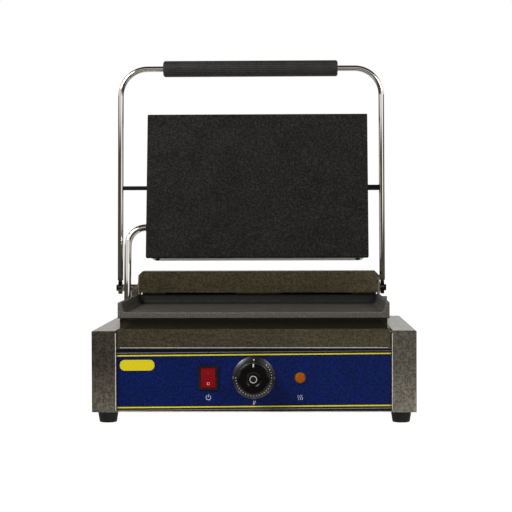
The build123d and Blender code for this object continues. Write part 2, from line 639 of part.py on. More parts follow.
# Deck that closes the body between the wings, behind the tray opening
END_OFFSET = (ELEMENT_RUNS - 1) / 2 * ELEMENT_PITCH
REAR_END_DEPTH = PLATE_CENTRE_DEPTH + END_OFFSET
LEAD_HOLE_X = -(ELEMENT_LENGTH / 2 + TERMINAL_LENGTH + LEAD_BEND * 2)
LEAD_DEPTHS = (REAR_END_DEPTH - LEAD_SPACING, REAR_END_DEPTH)
CAPILLARY_DEPTH = PLATE_CENTRE_DEPTH + CAPILLARY_PITCHES * ELEMENT_PITCH
PLATE_SCREW_PLACES = [
    (PLATES_X + side * PLATE_SCREW_X, at_depth(depth))
    for side in (-1, 1)
    for depth in PLATE_SCREW_DEPTHS
]
with BuildPart() as body_deck:
    with Locations((0, at_depth(SKIRT_FRONT_DEPTH), DECK_BOTTOM)):
        Box(
            2 * PANEL_HALF_WIDTH,
            REAR_PANEL_FRONT - SEAM - SKIRT_FRONT_DEPTH,
            SHEET,
            align=(MIDDLE, LOW, LOW),
        )
    with BuildSketch(Plane.XY.offset(DECK_BOTTOM)):
        with Locations(*PLATE_SCREW_PLACES):
            Circle(PLATE_SCREW_DIAMETER / 2 + RUNNING_GAP)
        with Locations((CAPILLARY_X, at_depth(CAPILLARY_DEPTH))):
            Circle(LEAD_SLEEVE_DIAMETER / 2)
        with Locations(*[(PLATES_X + LEAD_HOLE_X, at_depth(d)) for d in LEAD_DEPTHS]):
            Circle(LEAD_SLEEVE_DIAMETER / 2)
    extrude(amount=SHEET, mode=Mode.SUBTRACT)
body_deck.part.label = "body_deck"
export_step(body_deck.part, "parts/body_deck.step")

# Skirt that carries the lower plate
SKIRT_REAR_DEPTH = LOWER_REAR_DEPTH - SKIRT_INSET
SKIRT_WIDTH = LOWER_WIDTH - 2 * SKIRT_INSET
with BuildPart() as plate_skirt:
    with Locations((PLATES_X, at_depth(SKIRT_FRONT_DEPTH), BODY_TOP)):
        Box(
            SKIRT_WIDTH,
            SKIRT_REAR_DEPTH - SKIRT_FRONT_DEPTH,
            LOWER_UNDERSIDE - BODY_TOP,
            align=(MIDDLE, LOW, LOW),
        )
    with Locations((PLATES_X, at_depth(SKIRT_FRONT_DEPTH + SKIRT_SHEET), BODY_TOP)):
        Box(
            SKIRT_WIDTH - 2 * SKIRT_SHEET,
            SKIRT_REAR_DEPTH - SKIRT_FRONT_DEPTH - 2 * SKIRT_SHEET,
            LOWER_UNDERSIDE - BODY_TOP,
            align=(MIDDLE, LOW, LOW),
            mode=Mode.SUBTRACT,
        )
plate_skirt.part.label = "plate_skirt"
export_step(plate_skirt.part, "parts/plate_skirt.step")

# Apron that leads the fat from the plate's lip down into the tray, its ends cut at an angle
APRON_DROP = APRON_TOP - APRON_BOTTOM
APRON_FULL_WIDTH = APRON_TOP_WIDTH + 2 * APRON_DROP / tan(radians(APRON_CUT))
with BuildPart() as drip_apron:
    with BuildSketch(Plane(origin=(APRON_X, 0, 0), x_dir=(0, 1, 0), z_dir=(1, 0, 0))):
        with BuildLine():
            Polyline(
                (at_depth(SKIRT_FRONT_DEPTH), APRON_BOTTOM + 2),
                (at_depth(SKIRT_FRONT_DEPTH), APRON_TOP),
                (at_depth(SKIRT_FRONT_DEPTH - SHEET), APRON_TOP),
                (at_depth(APRON_FRONT_DEPTH), APRON_BOTTOM + SHEET),
                (at_depth(APRON_FRONT_DEPTH), APRON_BOTTOM),
                (at_depth(SKIRT_FRONT_DEPTH - SHEET), APRON_TOP - SHEET),
                (at_depth(SKIRT_FRONT_DEPTH - SHEET), APRON_BOTTOM + 2),
                close=True,
            )
        make_face()
    extrude(amount=APRON_FULL_WIDTH / 2, both=True)
    with BuildSketch(front_plane(0)):
        with BuildLine():
            Polyline(
                (APRON_X - APRON_FULL_WIDTH / 2, APRON_BOTTOM),
                (APRON_X + APRON_FULL_WIDTH / 2, APRON_BOTTOM),
                (APRON_X + APRON_TOP_WIDTH / 2, APRON_TOP),
                (APRON_X - APRON_TOP_WIDTH / 2, APRON_TOP),
                close=True,
            )
        make_face()
    extrude(amount=-BODY_DEPTH, mode=Mode.INTERSECT)
drip_apron.part.label = "drip_apron"
export_step(drip_apron.part, "parts/drip_apron.step")

# Lower cast plate: a flat floor with walls at both sides and the rear, open at the front
with BuildPart() as lower_plate:
    with Locations((PLATES_X, at_depth(LOWER_FRONT_DEPTH), LOWER_UNDERSIDE)):
        Box(
            LOWER_WIDTH,
            LOWER_LENGTH,
            LOWER_WALL_TOP - LOWER_UNDERSIDE,
            align=(MIDDLE, LOW, LOW),
        )
    fillet(lower_plate.edges().filter_by(Axis.Z).group_by(Axis.Y)[-1], LOWER_CORNER)
    # The hollow widens upward, so that the walls have draft.
    hollow_length = LOWER_LENGTH - LOWER_WALL
    with BuildSketch(Plane.XY.offset(LOWER_SURFACE)):
        with Locations((PLATES_X, at_depth(LOWER_FRONT_DEPTH - LOWER_WALL))):
            Rectangle(
                LOWER_WIDTH - 2 * LOWER_WALL - 2, hollow_length + LOWER_WALL - 1, align=(MIDDLE, LOW)
            )
    extrude(amount=LOWER_WALL_TOP, taper=-LOWER_WALL_DRAFT, mode=Mode.SUBTRACT)
    foot_edges = (
        lower_plate.edges()
        .filter_by(lambda e: abs(e.center().Z - LOWER_SURFACE) < 0.01)
        .filter_by(lambda e: e.center().Y > at_depth(LOWER_FRONT_DEPTH) + 1)
    )
    fillet(foot_edges, LOWER_WALL_FOOT)
    lip = lower_plate.edges().filter_by(Axis.X).group_by(Axis.Y)[0].sort_by(Axis.Z)
    fillet(lip, LOWER_LIP_ROUNDING)
    with Locations(*[(x, y, BODY_TOP) for x, y in PLATE_SCREW_PLACES]):
        Cylinder(PLATE_BOSS_DIAMETER / 2, LOWER_UNDERSIDE - BODY_TOP, align=(MIDDLE, MIDDLE, LOW))
        Cylinder(
            PLATE_SCREW_DIAMETER / 2 + RUNNING_GAP,
            LOWER_UNDERSIDE - BODY_TOP + LOWER_THICKNESS / 2,
            align=(MIDDLE, MIDDLE, LOW),
            mode=Mode.SUBTRACT,
        )
lower_plate.part.label = "lower_plate"
export_step(lower_plate.part, "parts/lower_plate.step")

# Screws that draw the lower plate down onto the skirt
with BuildPart() as lower_plate_screws:
    with Locations(*[(x, y, DECK_BOTTOM) for x, y in PLATE_SCREW_PLACES]):
        Cylinder(PLATE_SCREW_DIAMETER / 2, LOWER_UNDERSIDE - DECK_BOTTOM, align=(MIDDLE, MIDDLE, LOW))
        Cylinder(PLATE_SCREW_DIAMETER * 0.8, SEAM, align=(MIDDLE, MIDDLE, HIGH))
lower_plate_screws.part.label = "lower_plate_screws"
export_step(lower_plate_screws.part, "parts/lower_plate_screws.step")

# Tubular heating elements: straight runs joined by bends, with a terminal pin at each end.
# Both ends lie at the same side, because the number of runs is even.
ELEMENT_PLACES = {
    "lower": (
        Plane(
            origin=(
                PLATES_X,
                at_depth(PLATE_CENTRE_DEPTH),
                LOWER_UNDERSIDE - ELEMENT_GAP,
            ),
            x_dir=(1, 0, 0),
            z_dir=(0, 0, 1),
        )
    ),
    "upper": LID_PLANE.offset(COVER_FRONT - UPPER_STEP - ELEMENT_GAP),
}
ELEMENT_CORNERS = []
for run in range(ELEMENT_RUNS):
    across = (run - (ELEMENT_RUNS - 1) / 2) * ELEMENT_PITCH
    ends = [(-ELEMENT_LENGTH / 2, across), (ELEMENT_LENGTH / 2, across)]
    ELEMENT_CORNERS += ends if run % 2 == 0 else ends[::-1]
CAPILLARY_HOLE = (CAPILLARY_X - PLATES_X, CAPILLARY_DEPTH - PLATE_CENTRE_DEPTH)
CLAMP_TOP = -ELEMENT_DIAMETER
CLAMP_BOTTOM = CLAMP_TOP - CLAMP_SHEET
for plate_name, touching in ELEMENT_PLACES.items():
    centre_line = touching.offset(-ELEMENT_DIAMETER / 2)
    with BuildPart() as element:
        with BuildLine(centre_line) as winding:
            FilletPolyline(*ELEMENT_CORNERS, radius=ELEMENT_PITCH * 0.45)
        with BuildSketch(Plane(origin=winding.line @ 0, z_dir=winding.line % 0)):
            Circle(ELEMENT_DIAMETER / 2)
        sweep(path=winding.line)
        for end in (0, 1):
            outward = centre_line.x_dir * -1
            with BuildSketch(Plane(origin=winding.line @ end, z_dir=outward)):
                Circle(TERMINAL_DIAMETER / 2)
            extrude(amount=TERMINAL_LENGTH)
    element.part.label = f"{plate_name}_element"
    export_step(element.part, f"parts/{plate_name}_element.step")

    # Pressed sheet that holds the element against its plate
    with BuildPart() as clamp:
        with BuildSketch(touching.offset(CLAMP_BOTTOM)):
            Rectangle(CLAMP_LENGTH, CLAMP_WIDTH)
            if plate_name == "lower":
                with Locations(CAPILLARY_HOLE):
                    Circle(LEAD_SLEEVE_DIAMETER / 2, mode=Mode.SUBTRACT)
        extrude(amount=CLAMP_SHEET)
    clamp.part.label = f"{plate_name}_element_clamp"
    export_step(clamp.part, f"parts/{plate_name}_element_clamp.step")

    # Mineral insulation behind the clamp
    thickness = LOWER_UNDERSIDE - ELEMENT_GAP + CLAMP_BOTTOM - BODY_TOP
    if plate_name == "upper":
        thickness = UPPER_INSULATION
    with BuildPart() as insulation:
        with BuildSketch(touching.offset(CLAMP_BOTTOM)):
            Rectangle(CLAMP_LENGTH, CLAMP_WIDTH)
            if plate_name == "lower":
                with Locations(CAPILLARY_HOLE):
                    Circle(LEAD_SLEEVE_DIAMETER / 2, mode=Mode.SUBTRACT)
        extrude(amount=-thickness)
    insulation.part.label = f"{plate_name}_insulation"
    export_step(insulation.part, f"parts/{plate_name}_insulation.step")

# Hinge box: a folded cover over the axle and its springs, open below
with BuildPart() as hinge_box:
    with BuildSketch(front_plane(HINGE_BOX_FRONT_DEPTH)) as box_face:
        with Locations((0, HINGE_BOX_BOTTOM)):
            Rectangle(HINGE_BOX_WIDTH, HINGE_BOX_TOP - HINGE_BOX_BOTTOM, align=(MIDDLE, LOW))
        chamfer(box_face.vertices().group_by(Axis.Y)[-1], HINGE_BOX_CORNER)
    extrude(amount=-(BODY_DEPTH - HINGE_BOX_FRONT_DEPTH))
    with BuildSketch(front_plane(HINGE_BOX_FRONT_DEPTH + SHEET)) as box_hollow:
        with Locations((0, HINGE_BOX_BOTTOM)):
            Rectangle(
                HINGE_BOX_WIDTH - 2 * SHEET,
                HINGE_BOX_TOP - HINGE_BOX_BOTTOM - SHEET,
                align=(MIDDLE, LOW),
            )
        chamfer(box_hollow.vertices().group_by(Axis.Y)[-1], HINGE_BOX_CORNER - SHEET / 2)
    extrude(amount=-(BODY_DEPTH - HINGE_BOX_FRONT_DEPTH - 2 * SHEET), mode=Mode.SUBTRACT)
    with BuildSketch(axle_plane(0, 1)):
        Circle(BUSH_DIAMETER / 2)
    extrude(amount=HINGE_BOX_WIDTH, both=True, mode=Mode.SUBTRACT)
    with BuildSketch(front_plane(REAR_PANEL_FRONT)):
        with Locations(*REAR_SCREW_PLACES):
            Circle(CASE_SCREW_DIAMETER / 2 + RUNNING_GAP)
    extrude(amount=-BODY_DEPTH, mode=Mode.SUBTRACT)
    for side in (-1, 1):
        with Locations(*[(side * HINGE_BOX_WIDTH / 2, at_depth(d), RIVET_HEIGHT) for d in RIVET_DEPTHS]):
            Cylinder(RIVET_DIAMETER / 2, 4 * SHEET, rotation=(0, 90, 0), mode=Mode.SUBTRACT)
hinge_box.part.label = "hinge_box"
export_step(hinge_box.part, "parts/hinge_box.step")

# Screws through the rear of the hinge box into the rear panel
with BuildPart() as rear_screws:
    with BuildSketch(front_plane(BODY_DEPTH)):
        with Locations(*REAR_SCREW_PLACES):
            Circle(CASE_SCREW_HEAD_DIAMETER / 2)
    extrude(amount=-CASE_SCREW_HEAD)
    with BuildSketch(front_plane(BODY_DEPTH)):
        with Locations(*REAR_SCREW_PLACES):
            Circle(CASE_SCREW_DIAMETER / 2)
    extrude(amount=BODY_DEPTH - REAR_PANEL_FRONT + SHEET)
rear_screws.part.label = "rear_screws"
export_step(rear_screws.part, "parts/rear_screws.step")

# Brackets that stand on the wings and carry the hinge box, the bushes and the axle
for side, side_name in ((-1, "left"), (1, "right")):
    toward_middle = LOW if side > 0 else HIGH
    flange_top = BRACKET_FLANGE_TOP if side < 0 else AXLE_HEIGHT - LUG_TAIL - BRACKET_FLANGE_GAP
    with BuildPart() as bracket:
        with Locations((side * HINGE_BOX_WIDTH / 2, at_depth(BRACKET_FRONT_DEPTH), BODY_TOP)):
            Box(
                BRACKET_SHEET,
                REAR_PANEL_BACK - BRACKET_FRONT_DEPTH,
                BRACKET_TOP - BODY_TOP,
                align=(toward_middle, LOW, LOW),
            )
        fillet(bracket.edges().filter_by(Axis.X).group_by(Axis.Z)[-1], BRACKET_ROUNDING)
        with Locations((side * HINGE_BOX_WIDTH / 2, at_depth(BRACKET_FOOT_FRONT), BODY_TOP)):
            Box(
                BRACKET_SHEET + BRACKET_FOOT_WIDTH,
                REAR_PANEL_BACK - BRACKET_FOOT_FRONT,
                BRACKET_SHEET,
                align=(toward_middle, LOW, LOW),
            )
        with Locations((side * HINGE_BOX_WIDTH / 2, at_depth(BRACKET_FLANGE_DEPTH), BODY_TOP)):
            Box(
                BRACKET_FLANGE_WIDTH,
                BRACKET_SHEET,
                flange_top - BODY_TOP,
                align=(toward_middle, LOW, LOW),
            )
        with BuildSketch(axle_plane(0, 1)):
            Circle(BUSH_DIAMETER / 2)
        extrude(amount=HINGE_BOX_WIDTH, both=True, mode=Mode.SUBTRACT)
        with Locations(*[(side * HINGE_BOX_WIDTH / 2, at_depth(d), RIVET_HEIGHT) for d in RIVET_DEPTHS]):
            Cylinder(RIVET_DIAMETER / 2, 4 * BRACKET_SHEET, rotation=(0, 90, 0), mode=Mode.SUBTRACT)
        with Locations((side * BRACKET_SCREW_X, at_depth(AXLE_DEPTH), BODY_TOP)):
            Cylinder(CASE_SCREW_DIAMETER / 2 + RUNNING_GAP, 4 * BRACKET_SHEET, mode=Mode.SUBTRACT)
    bracket.part.label = f"{side_name}_hinge_bracket"
    export_step(bracket.part, f"parts/{side_name}_hinge_bracket.step")

# A screw into each wing and flush rivets into the ends of the hinge box
with BuildPart() as bracket_fasteners:
    for side in (-1, 1):
        with Locations((side * BRACKET_SCREW_X, at_depth(AXLE_DEPTH), BODY_TOP + BRACKET_SHEET)):
            Cylinder(CASE_SCREW_HEAD_DIAMETER / 2, CASE_SCREW_HEAD, align=(MIDDLE, MIDDLE, LOW))
            Cylinder(
                CASE_SCREW_DIAMETER / 2, BRACKET_SHEET + 2 * SHEET, align=(MIDDLE, MIDDLE, HIGH)
            )
        inner_face = side * (HINGE_BOX_WIDTH / 2 - SHEET)
        for rivet_depth in RIVET_DEPTHS:
            with BuildSketch(
                Plane(origin=(inner_face, at_depth(rivet_depth), RIVET_HEIGHT), z_dir=(side, 0, 0))
            ):
                Circle(RIVET_DIAMETER / 2)
            extrude(amount=SHEET + BRACKET_SHEET)
            with BuildSketch(
                Plane(origin=(inner_face, at_depth(rivet_depth), RIVET_HEIGHT), z_dir=(-side, 0, 0))
            ):
                Circle(RIVET_DIAMETER * 0.8)
            extrude(amount=SHEET)
bracket_fasteners.part.label = "bracket_fasteners"
export_step(bracket_fasteners.part, "parts/bracket_fasteners.step")

# Flanged bushes in the brackets
with BuildPart() as hinge_bushes:
    for side in (-1, 1):
        wall = side * (HINGE_BOX_WIDTH / 2 - SHEET)
        with BuildSketch(axle_plane(wall, side)):
            Circle(BUSH_DIAMETER / 2)
            Circle(AXLE_DIAMETER / 2 + RUNNING_GAP, mode=Mode.SUBTRACT)
        extrude(amount=SHEET + BRACKET_SHEET)
        face = side * (HINGE_BOX_WIDTH / 2 + BRACKET_SHEET)
        with BuildSketch(axle_plane(face, side)):
            Circle(BUSH_FLANGE_DIAMETER / 2)
            Circle(AXLE_DIAMETER / 2 + RUNNING_GAP, mode=Mode.SUBTRACT)
        extrude(amount=BUSH_FLANGE)
hinge_bushes.part.label = "hinge_bushes"
export_step(hinge_bushes.part, "parts/hinge_bushes.step")

# Counterbalance springs round the axle, each with a leg against the roof of the hinge box
with BuildPart() as hinge_springs:
    for side in (-1, 1):
        start = side * (COLLAR_X + COLLAR_LENGTH / 2 + SPRING_GAP)
        with BuildSketch(axle_plane(start, side)):
            Circle(SPRING_DIAMETER / 2)
            Circle(SPRING_BORE / 2, mode=Mode.SUBTRACT)
        extrude(amount=SPRING_LENGTH)
        leg_x = start + side * (SPRING_LENGTH - SPRING_WIRE / 2)
        leg_foot = AXLE_HEIGHT + (SPRING_DIAMETER - SPRING_WIRE) / 2
        with Locations((leg_x, at_depth(AXLE_DEPTH), leg_foot)):
            Cylinder(
                SPRING_WIRE / 2, HINGE_BOX_TOP - SHEET - SEAM - leg_foot, align=(MIDDLE, MIDDLE, LOW)
            )
hinge_springs.part.label = "hinge_springs"
export_step(hinge_springs.part, "parts/hinge_springs.step")

# Axle, with a tapped hole in each end
SHAFT_LEFT = LEFT_ARM_X + LUG_THICKNESS / 2
SHAFT_RIGHT = RIGHT_ARM_X - LUG_THICKNESS / 2
with BuildPart() as hinge_shaft:
    with BuildSketch(axle_plane(SHAFT_LEFT, 1)):
        Circle(AXLE_DIAMETER / 2)
    extrude(amount=SHAFT_RIGHT - SHAFT_LEFT)
    for end_x, inward in ((SHAFT_LEFT, 1), (SHAFT_RIGHT, -1)):
        with BuildSketch(axle_plane(end_x, inward)):
            Circle(ARM_SCREW_DIAMETER / 2 + RUNNING_GAP)
        extrude(amount=ARM_SCREW_DEPTH + 1, mode=Mode.SUBTRACT)
hinge_shaft.part.label = "hinge_shaft"
export_step(hinge_shaft.part, "parts/hinge_shaft.step")

# Collars pinned to the axle, which wind the springs
with BuildPart() as spring_collars:
    for side in (-1, 1):
        with BuildSketch(axle_plane(side * COLLAR_X, 1)):
            Circle(COLLAR_DIAMETER / 2)
            Circle(AXLE_DIAMETER / 2 + RUNNING_GAP, mode=Mode.SUBTRACT)
        extrude(amount=COLLAR_LENGTH / 2, both=True)
    chamfer(spring_collars.edges().filter_by(GeomType.CIRCLE).group_by(SortBy.RADIUS)[-1], 0.8)
spring_collars.part.label = "spring_collars"
export_step(spring_collars.part, "parts/spring_collars.step")

# Handle rod: one bent tube with a flattened eye at each end
ARM_FOOT = LUG_NECK - 3
with BuildPart() as handle_rod:
    with BuildLine(HANDLE_PLANE) as rod_path:
        FilletPolyline(
            (LEFT_ARM_X, ARM_FOOT),
            (LEFT_ARM_X, HANDLE_REACH),
            (RIGHT_ARM_X, HANDLE_REACH),
            (RIGHT_ARM_X, ARM_FOOT),
            radius=ROD_BEND_RADIUS,
        )
    with BuildSketch(Plane(origin=rod_path.line @ 0, z_dir=rod_path.line % 0)):
        Circle(ROD_DIAMETER / 2)
    sweep(path=rod_path.line)
    for arm_x in (LEFT_ARM_X, RIGHT_ARM_X):
        along_arm = Plane(
            origin=(arm_x, at_depth(AXLE_DEPTH), AXLE_HEIGHT),
            x_dir=HANDLE_PLANE.y_dir,
            z_dir=(1, 0, 0),
        )
        with BuildSketch(along_arm):
            Circle(LUG_TAIL)
            with Locations((0, 0)):
                Rectangle(LUG_NECK + ROD_DIAMETER / 2, ROD_DIAMETER, align=(LOW, MIDDLE))
        extrude(amount=LUG_THICKNESS / 2, both=True)
        with BuildSketch(along_arm):
            Circle(ARM_SCREW_DIAMETER / 2 + RUNNING_GAP)
        extrude(amount=LUG_THICKNESS, both=True, mode=Mode.SUBTRACT)
        # Socket for the spigot of the side pin
        inward = 1 if arm_x < 0 else -1
        pin_place = HANDLE_PLANE.from_local_coords((arm_x, PIN_REACH, 0))
        with BuildSketch(Plane(origin=pin_place, z_dir=(inward, 0, 0))):
            Circle(PIN_SPIGOT_DIAMETER / 2)
        extrude(amount=ROD_DIAMETER, mode=Mode.SUBTRACT)
handle_rod.part.label = "handle_rod"
export_step(handle_rod.part, "parts/handle_rod.step")

# Screws that hold the eyes to the axle
with BuildPart() as arm_screws:
    for arm_x, outward in ((LEFT_ARM_X, -1), (RIGHT_ARM_X, 1)):
        outer_face = arm_x + outward * LUG_THICKNESS / 2
        with BuildSketch(axle_plane(outer_face, outward)):
            Circle(ARM_SCREW_HEAD_DIAMETER / 2)
        extrude(amount=ARM_SCREW_HEAD)
        with BuildSketch(axle_plane(outer_face, -outward)):
            Circle(ARM_SCREW_DIAMETER / 2)
        extrude(amount=LUG_THICKNESS + ARM_SCREW_DEPTH)
arm_screws.part.label = "arm_screws"
export_step(arm_screws.part, "parts/arm_screws.step")

# Grip: a fluted sleeve with bevelled ends
GRIP_MIDDLE = HANDLE_PLANE.from_local_coords((GRIP_X, HANDLE_REACH, 0))
with BuildPart() as handle_grip:
    with BuildSketch(Plane(origin=GRIP_MIDDLE, z_dir=(1, 0, 0))):
        Circle(GRIP_DIAMETER / 2)
    extrude(amount=GRIP_LENGTH / 2, both=True)
    chamfer(handle_grip.edges().filter_by(GeomType.CIRCLE), GRIP_CHAMFER)
    with BuildSketch(Plane(origin=GRIP_MIDDLE, z_dir=(1, 0, 0))):
        with PolarLocations(GRIP_DIAMETER / 2, GRIP_FLUTES):
            Circle(GRIP_FLUTE_RADIUS)
        Circle(ROD_DIAMETER / 2 + RUNNING_GAP)
    extrude(amount=GRIP_LENGTH / 2, both=True, mode=Mode.SUBTRACT)
handle_grip.part.label = "handle_grip"
export_step(handle_grip.part, "parts/handle_grip.step")

# Side pins on which the lid swivels, welded to the arms
with BuildPart() as swivel_pins:
    for arm_x, inward, pin_diameter in (
        (LEFT_ARM_X, 1, LEFT_PIN_DIAMETER),
        (RIGHT_ARM_X, -1, RIGHT_PIN_DIAMETER),
    ):
        arm_side = HANDLE_PLANE.from_local_coords((arm_x + inward * ROD_DIAMETER / 2, PIN_REACH, 0))
        lid_side = PLATES_X - inward * (COVER_HALF_WIDTH - PIN_ENGAGEMENT)
        with BuildSketch(Plane(origin=arm_side, z_dir=(inward, 0, 0))):
            Circle(pin_diameter / 2)
        extrude(amount=abs(lid_side - arm_side.X))
        with BuildSketch(Plane(origin=arm_side, z_dir=(-inward, 0, 0))):
            Circle(PIN_SPIGOT_DIAMETER / 2)
        extrude(amount=ROD_DIAMETER / 2)
swivel_pins.part.label = "swivel_pins"
export_step(swivel_pins.part, "parts/swivel_pins.step")

# Upper cast plate, with bosses on its back for the side pins and the cover's screws
LID_HOLLOW = COVER_HALF_WIDTH - SHEET - SEAM
PIN_BOSS_X = LID_HOLLOW - LID_BOSS[0] / 2
PLATE_MIDDLE = (UPPER_ABOVE_PINS - UPPER_BELOW_PINS) / 2
COVER_MIDDLE = (COVER_TOP + COVER_BOTTOM) / 2
COVER_HEIGHT = COVER_TOP - COVER_BOTTOM
STEP_BACK = COVER_FRONT - UPPER_STEP
with BuildPart() as upper_plate:
    with BuildSketch(LID_PLANE.offset(COVER_FRONT)):
        with Locations((0, PLATE_MIDDLE)):
            Rectangle(UPPER_WIDTH, UPPER_ABOVE_PINS + UPPER_BELOW_PINS)
    extrude(amount=UPPER_THICKNESS)
    fillet(upper_plate.edges().filter_by(LID_FACING), 1.5)
    chamfer(upper_plate.faces().sort_by(LID_FACING)[-1].edges(), 0.6)
    with BuildSketch(LID_PLANE.offset(STEP_BACK)):
        with Locations((0, COVER_MIDDLE)):
            RectangleRounded(2 * LID_HOLLOW, COVER_HEIGHT - 2 * (SHEET + SEAM), COVER_CORNER - SHEET)
    extrude(amount=UPPER_STEP)
    with BuildSketch(LID_PLANE.offset(STEP_BACK)):
        with Locations((-PIN_BOSS_X, 0), (PIN_BOSS_X, 0)):
            Rectangle(*LID_BOSS)
    extrude(amount=-(STEP_BACK + LID_BUSH_DIAMETER / 2 + 3))
    with BuildSketch(LID_PLANE.offset(STEP_BACK)):
        for edge, boss_side in ((COVER_TOP, HIGH), (COVER_BOTTOM, LOW)):
            toward = -1 if edge > 0 else 1
            seat = edge + toward * (SHEET + COVER_BOSS_GAP)
            with Locations((-COVER_SCREW_X, seat), (COVER_SCREW_X, seat)):
                Rectangle(COVER_BOSS, COVER_BOSS, align=(MIDDLE, boss_side))
    extrude(amount=-(STEP_BACK - COVER_SCREW_PLACE + COVER_BOSS / 2))
    with BuildSketch(Plane(origin=LID_PLANE.origin, x_dir=(0, 1, 0), z_dir=(1, 0, 0))):
        Circle(LID_BUSH_DIAMETER / 2)
    extrude(amount=UPPER_WIDTH, both=True, mode=Mode.SUBTRACT)
    for edge, toward in ((COVER_TOP, -1), (COVER_BOTTOM, 1)):
        for x in (-COVER_SCREW_X, COVER_SCREW_X):
            hole = Plane(
                origin=LID_PLANE.from_local_coords((x, edge, COVER_SCREW_PLACE)),
                z_dir=LID_PLANE.y_dir * toward,
            )
            with BuildSketch(hole):
                Circle(COVER_SCREW_DIAMETER / 2 + RUNNING_GAP)
            extrude(amount=COVER_SCREW_LENGTH + 1, mode=Mode.SUBTRACT)
upper_plate.part.label = "upper_plate"
export_step(upper_plate.part, "parts/upper_plate.step")

# Stainless cover behind the upper plate
FITTING_PLACE = LID_PLANE.from_local_coords((-COVER_HALF_WIDTH, -CONDUIT_BELOW_PINS, 0))
with BuildPart() as upper_cover:
    with BuildSketch(LID_PLANE.offset(COVER_BACK)):
        with Locations((0, COVER_MIDDLE)):
            RectangleRounded(2 * COVER_HALF_WIDTH, COVER_HEIGHT, COVER_CORNER)
    extrude(amount=COVER_DEPTH)
    fillet(upper_cover.faces().sort_by(LID_FACING)[0].edges(), COVER_EDGE)
    with BuildPart(mode=Mode.SUBTRACT) as cover_hollow:
        with BuildSketch(LID_PLANE.offset(COVER_BACK + SHEET)):
            with Locations((0, COVER_MIDDLE)):
                RectangleRounded(
                    2 * (COVER_HALF_WIDTH - SHEET), COVER_HEIGHT - 2 * SHEET, COVER_CORNER - SHEET
                )
        extrude(amount=COVER_DEPTH)
        fillet(cover_hollow.faces().sort_by(LID_FACING)[0].edges(), COVER_EDGE - SHEET)
    with BuildSketch(Plane(origin=LID_PLANE.origin, x_dir=(0, 1, 0), z_dir=(1, 0, 0))):
        Circle(LID_BUSH_DIAMETER / 2)
    extrude(amount=UPPER_WIDTH, both=True, mode=Mode.SUBTRACT)
    with BuildSketch(Plane(origin=FITTING_PLACE, z_dir=(1, 0, 0))):
        Circle(FITTING_NECK_DIAMETER / 2)
    extrude(amount=4 * SHEET, both=True, mode=Mode.SUBTRACT)
    for edge in (COVER_TOP, COVER_BOTTOM):
        for x in (-COVER_SCREW_X, COVER_SCREW_X):
            hole = Plane(
                origin=LID_PLANE.from_local_coords((x, edge, COVER_SCREW_PLACE)),
                z_dir=LID_PLANE.y_dir,
            )
            with BuildSketch(hole):
                Circle(COVER_SCREW_DIAMETER / 2 + RUNNING_GAP)
            extrude(amount=4 * SHEET, both=True, mode=Mode.SUBTRACT)
upper_cover.part.label = "upper_cover"
export_step(upper_cover.part, "parts/upper_cover.step")

# Button-head screws along the top and bottom of the cover
with BuildPart() as cover_screws:
    for edge, toward in ((COVER_TOP, -1), (COVER_BOTTOM, 1)):
        for x in (-COVER_SCREW_X, COVER_SCREW_X):
            seat = LID_PLANE.from_local_coords((x, edge, COVER_SCREW_PLACE))
            with BuildSketch(Plane(origin=seat, z_dir=LID_PLANE.y_dir * -toward)):
                Circle(COVER_SCREW_HEAD_DIAMETER / 2)
            extrude(amount=COVER_SCREW_HEAD, taper=20)
            with BuildSketch(Plane(origin=seat, z_dir=LID_PLANE.y_dir * toward)):
                Circle(COVER_SCREW_DIAMETER / 2)
            extrude(amount=COVER_SCREW_LENGTH)
cover_screws.part.label = "cover_screws"
export_step(cover_screws.part, "parts/cover_screws.step")

# Flanged bushes in the lid's sides
with BuildPart() as swivel_bushes:
    for inward, pin_diameter in ((1, LEFT_PIN_DIAMETER), (-1, RIGHT_PIN_DIAMETER)):
        wall = LID_PLANE.from_local_coords((-inward * COVER_HALF_WIDTH, 0, 0))
        with BuildSketch(Plane(origin=wall, z_dir=(inward, 0, 0))):
            Circle(LID_BUSH_DIAMETER / 2)
            Circle(pin_diameter / 2 + RUNNING_GAP, mode=Mode.SUBTRACT)
        extrude(amount=SHEET + SEAM + LID_BOSS[0])
        with BuildSketch(Plane(origin=wall, z_dir=(-inward, 0, 0))):
            Circle(LID_BUSH_FLANGE_DIAMETER / 2)
            Circle(pin_diameter / 2 + RUNNING_GAP, mode=Mode.SUBTRACT)
        extrude(amount=LID_BUSH_FLANGE)
swivel_bushes.part.label = "swivel_bushes"
export_step(swivel_bushes.part, "parts/swivel_bushes.step")

# Fitting in the lid's left side that takes the upper end of the conduit
with BuildPart() as lid_conduit_fitting:
    with BuildSketch(Plane(origin=FITTING_PLACE, z_dir=(-1, 0, 0))):
        Circle(FITTING_DIAMETER / 2)
        Circle(CONDUIT_DIAMETER / 2 + RUNNING_GAP, mode=Mode.SUBTRACT)
    extrude(amount=FITTING_PROUD)
    with BuildSketch(Plane(origin=FITTING_PLACE, z_dir=(1, 0, 0))):
        Circle(FITTING_NECK_DIAMETER / 2)
        Circle(CONDUIT_DIAMETER / 2 + RUNNING_GAP, mode=Mode.SUBTRACT)
    extrude(amount=SHEET + FITTING_PROUD)
    with BuildSketch(Plane(origin=FITTING_PLACE, z_dir=(1, 0, 0)).offset(SHEET)):
        RegularPolygon(FITTING_DIAMETER * 0.6, 6)
        Circle(CONDUIT_DIAMETER / 2 + RUNNING_GAP, mode=Mode.SUBTRACT)
    extrude(amount=FITTING_PROUD)
lid_conduit_fitting.part.label = "lid_conduit_fitting"
export_step(lid_conduit_fitting.part, "parts/lid_conduit_fitting.step")

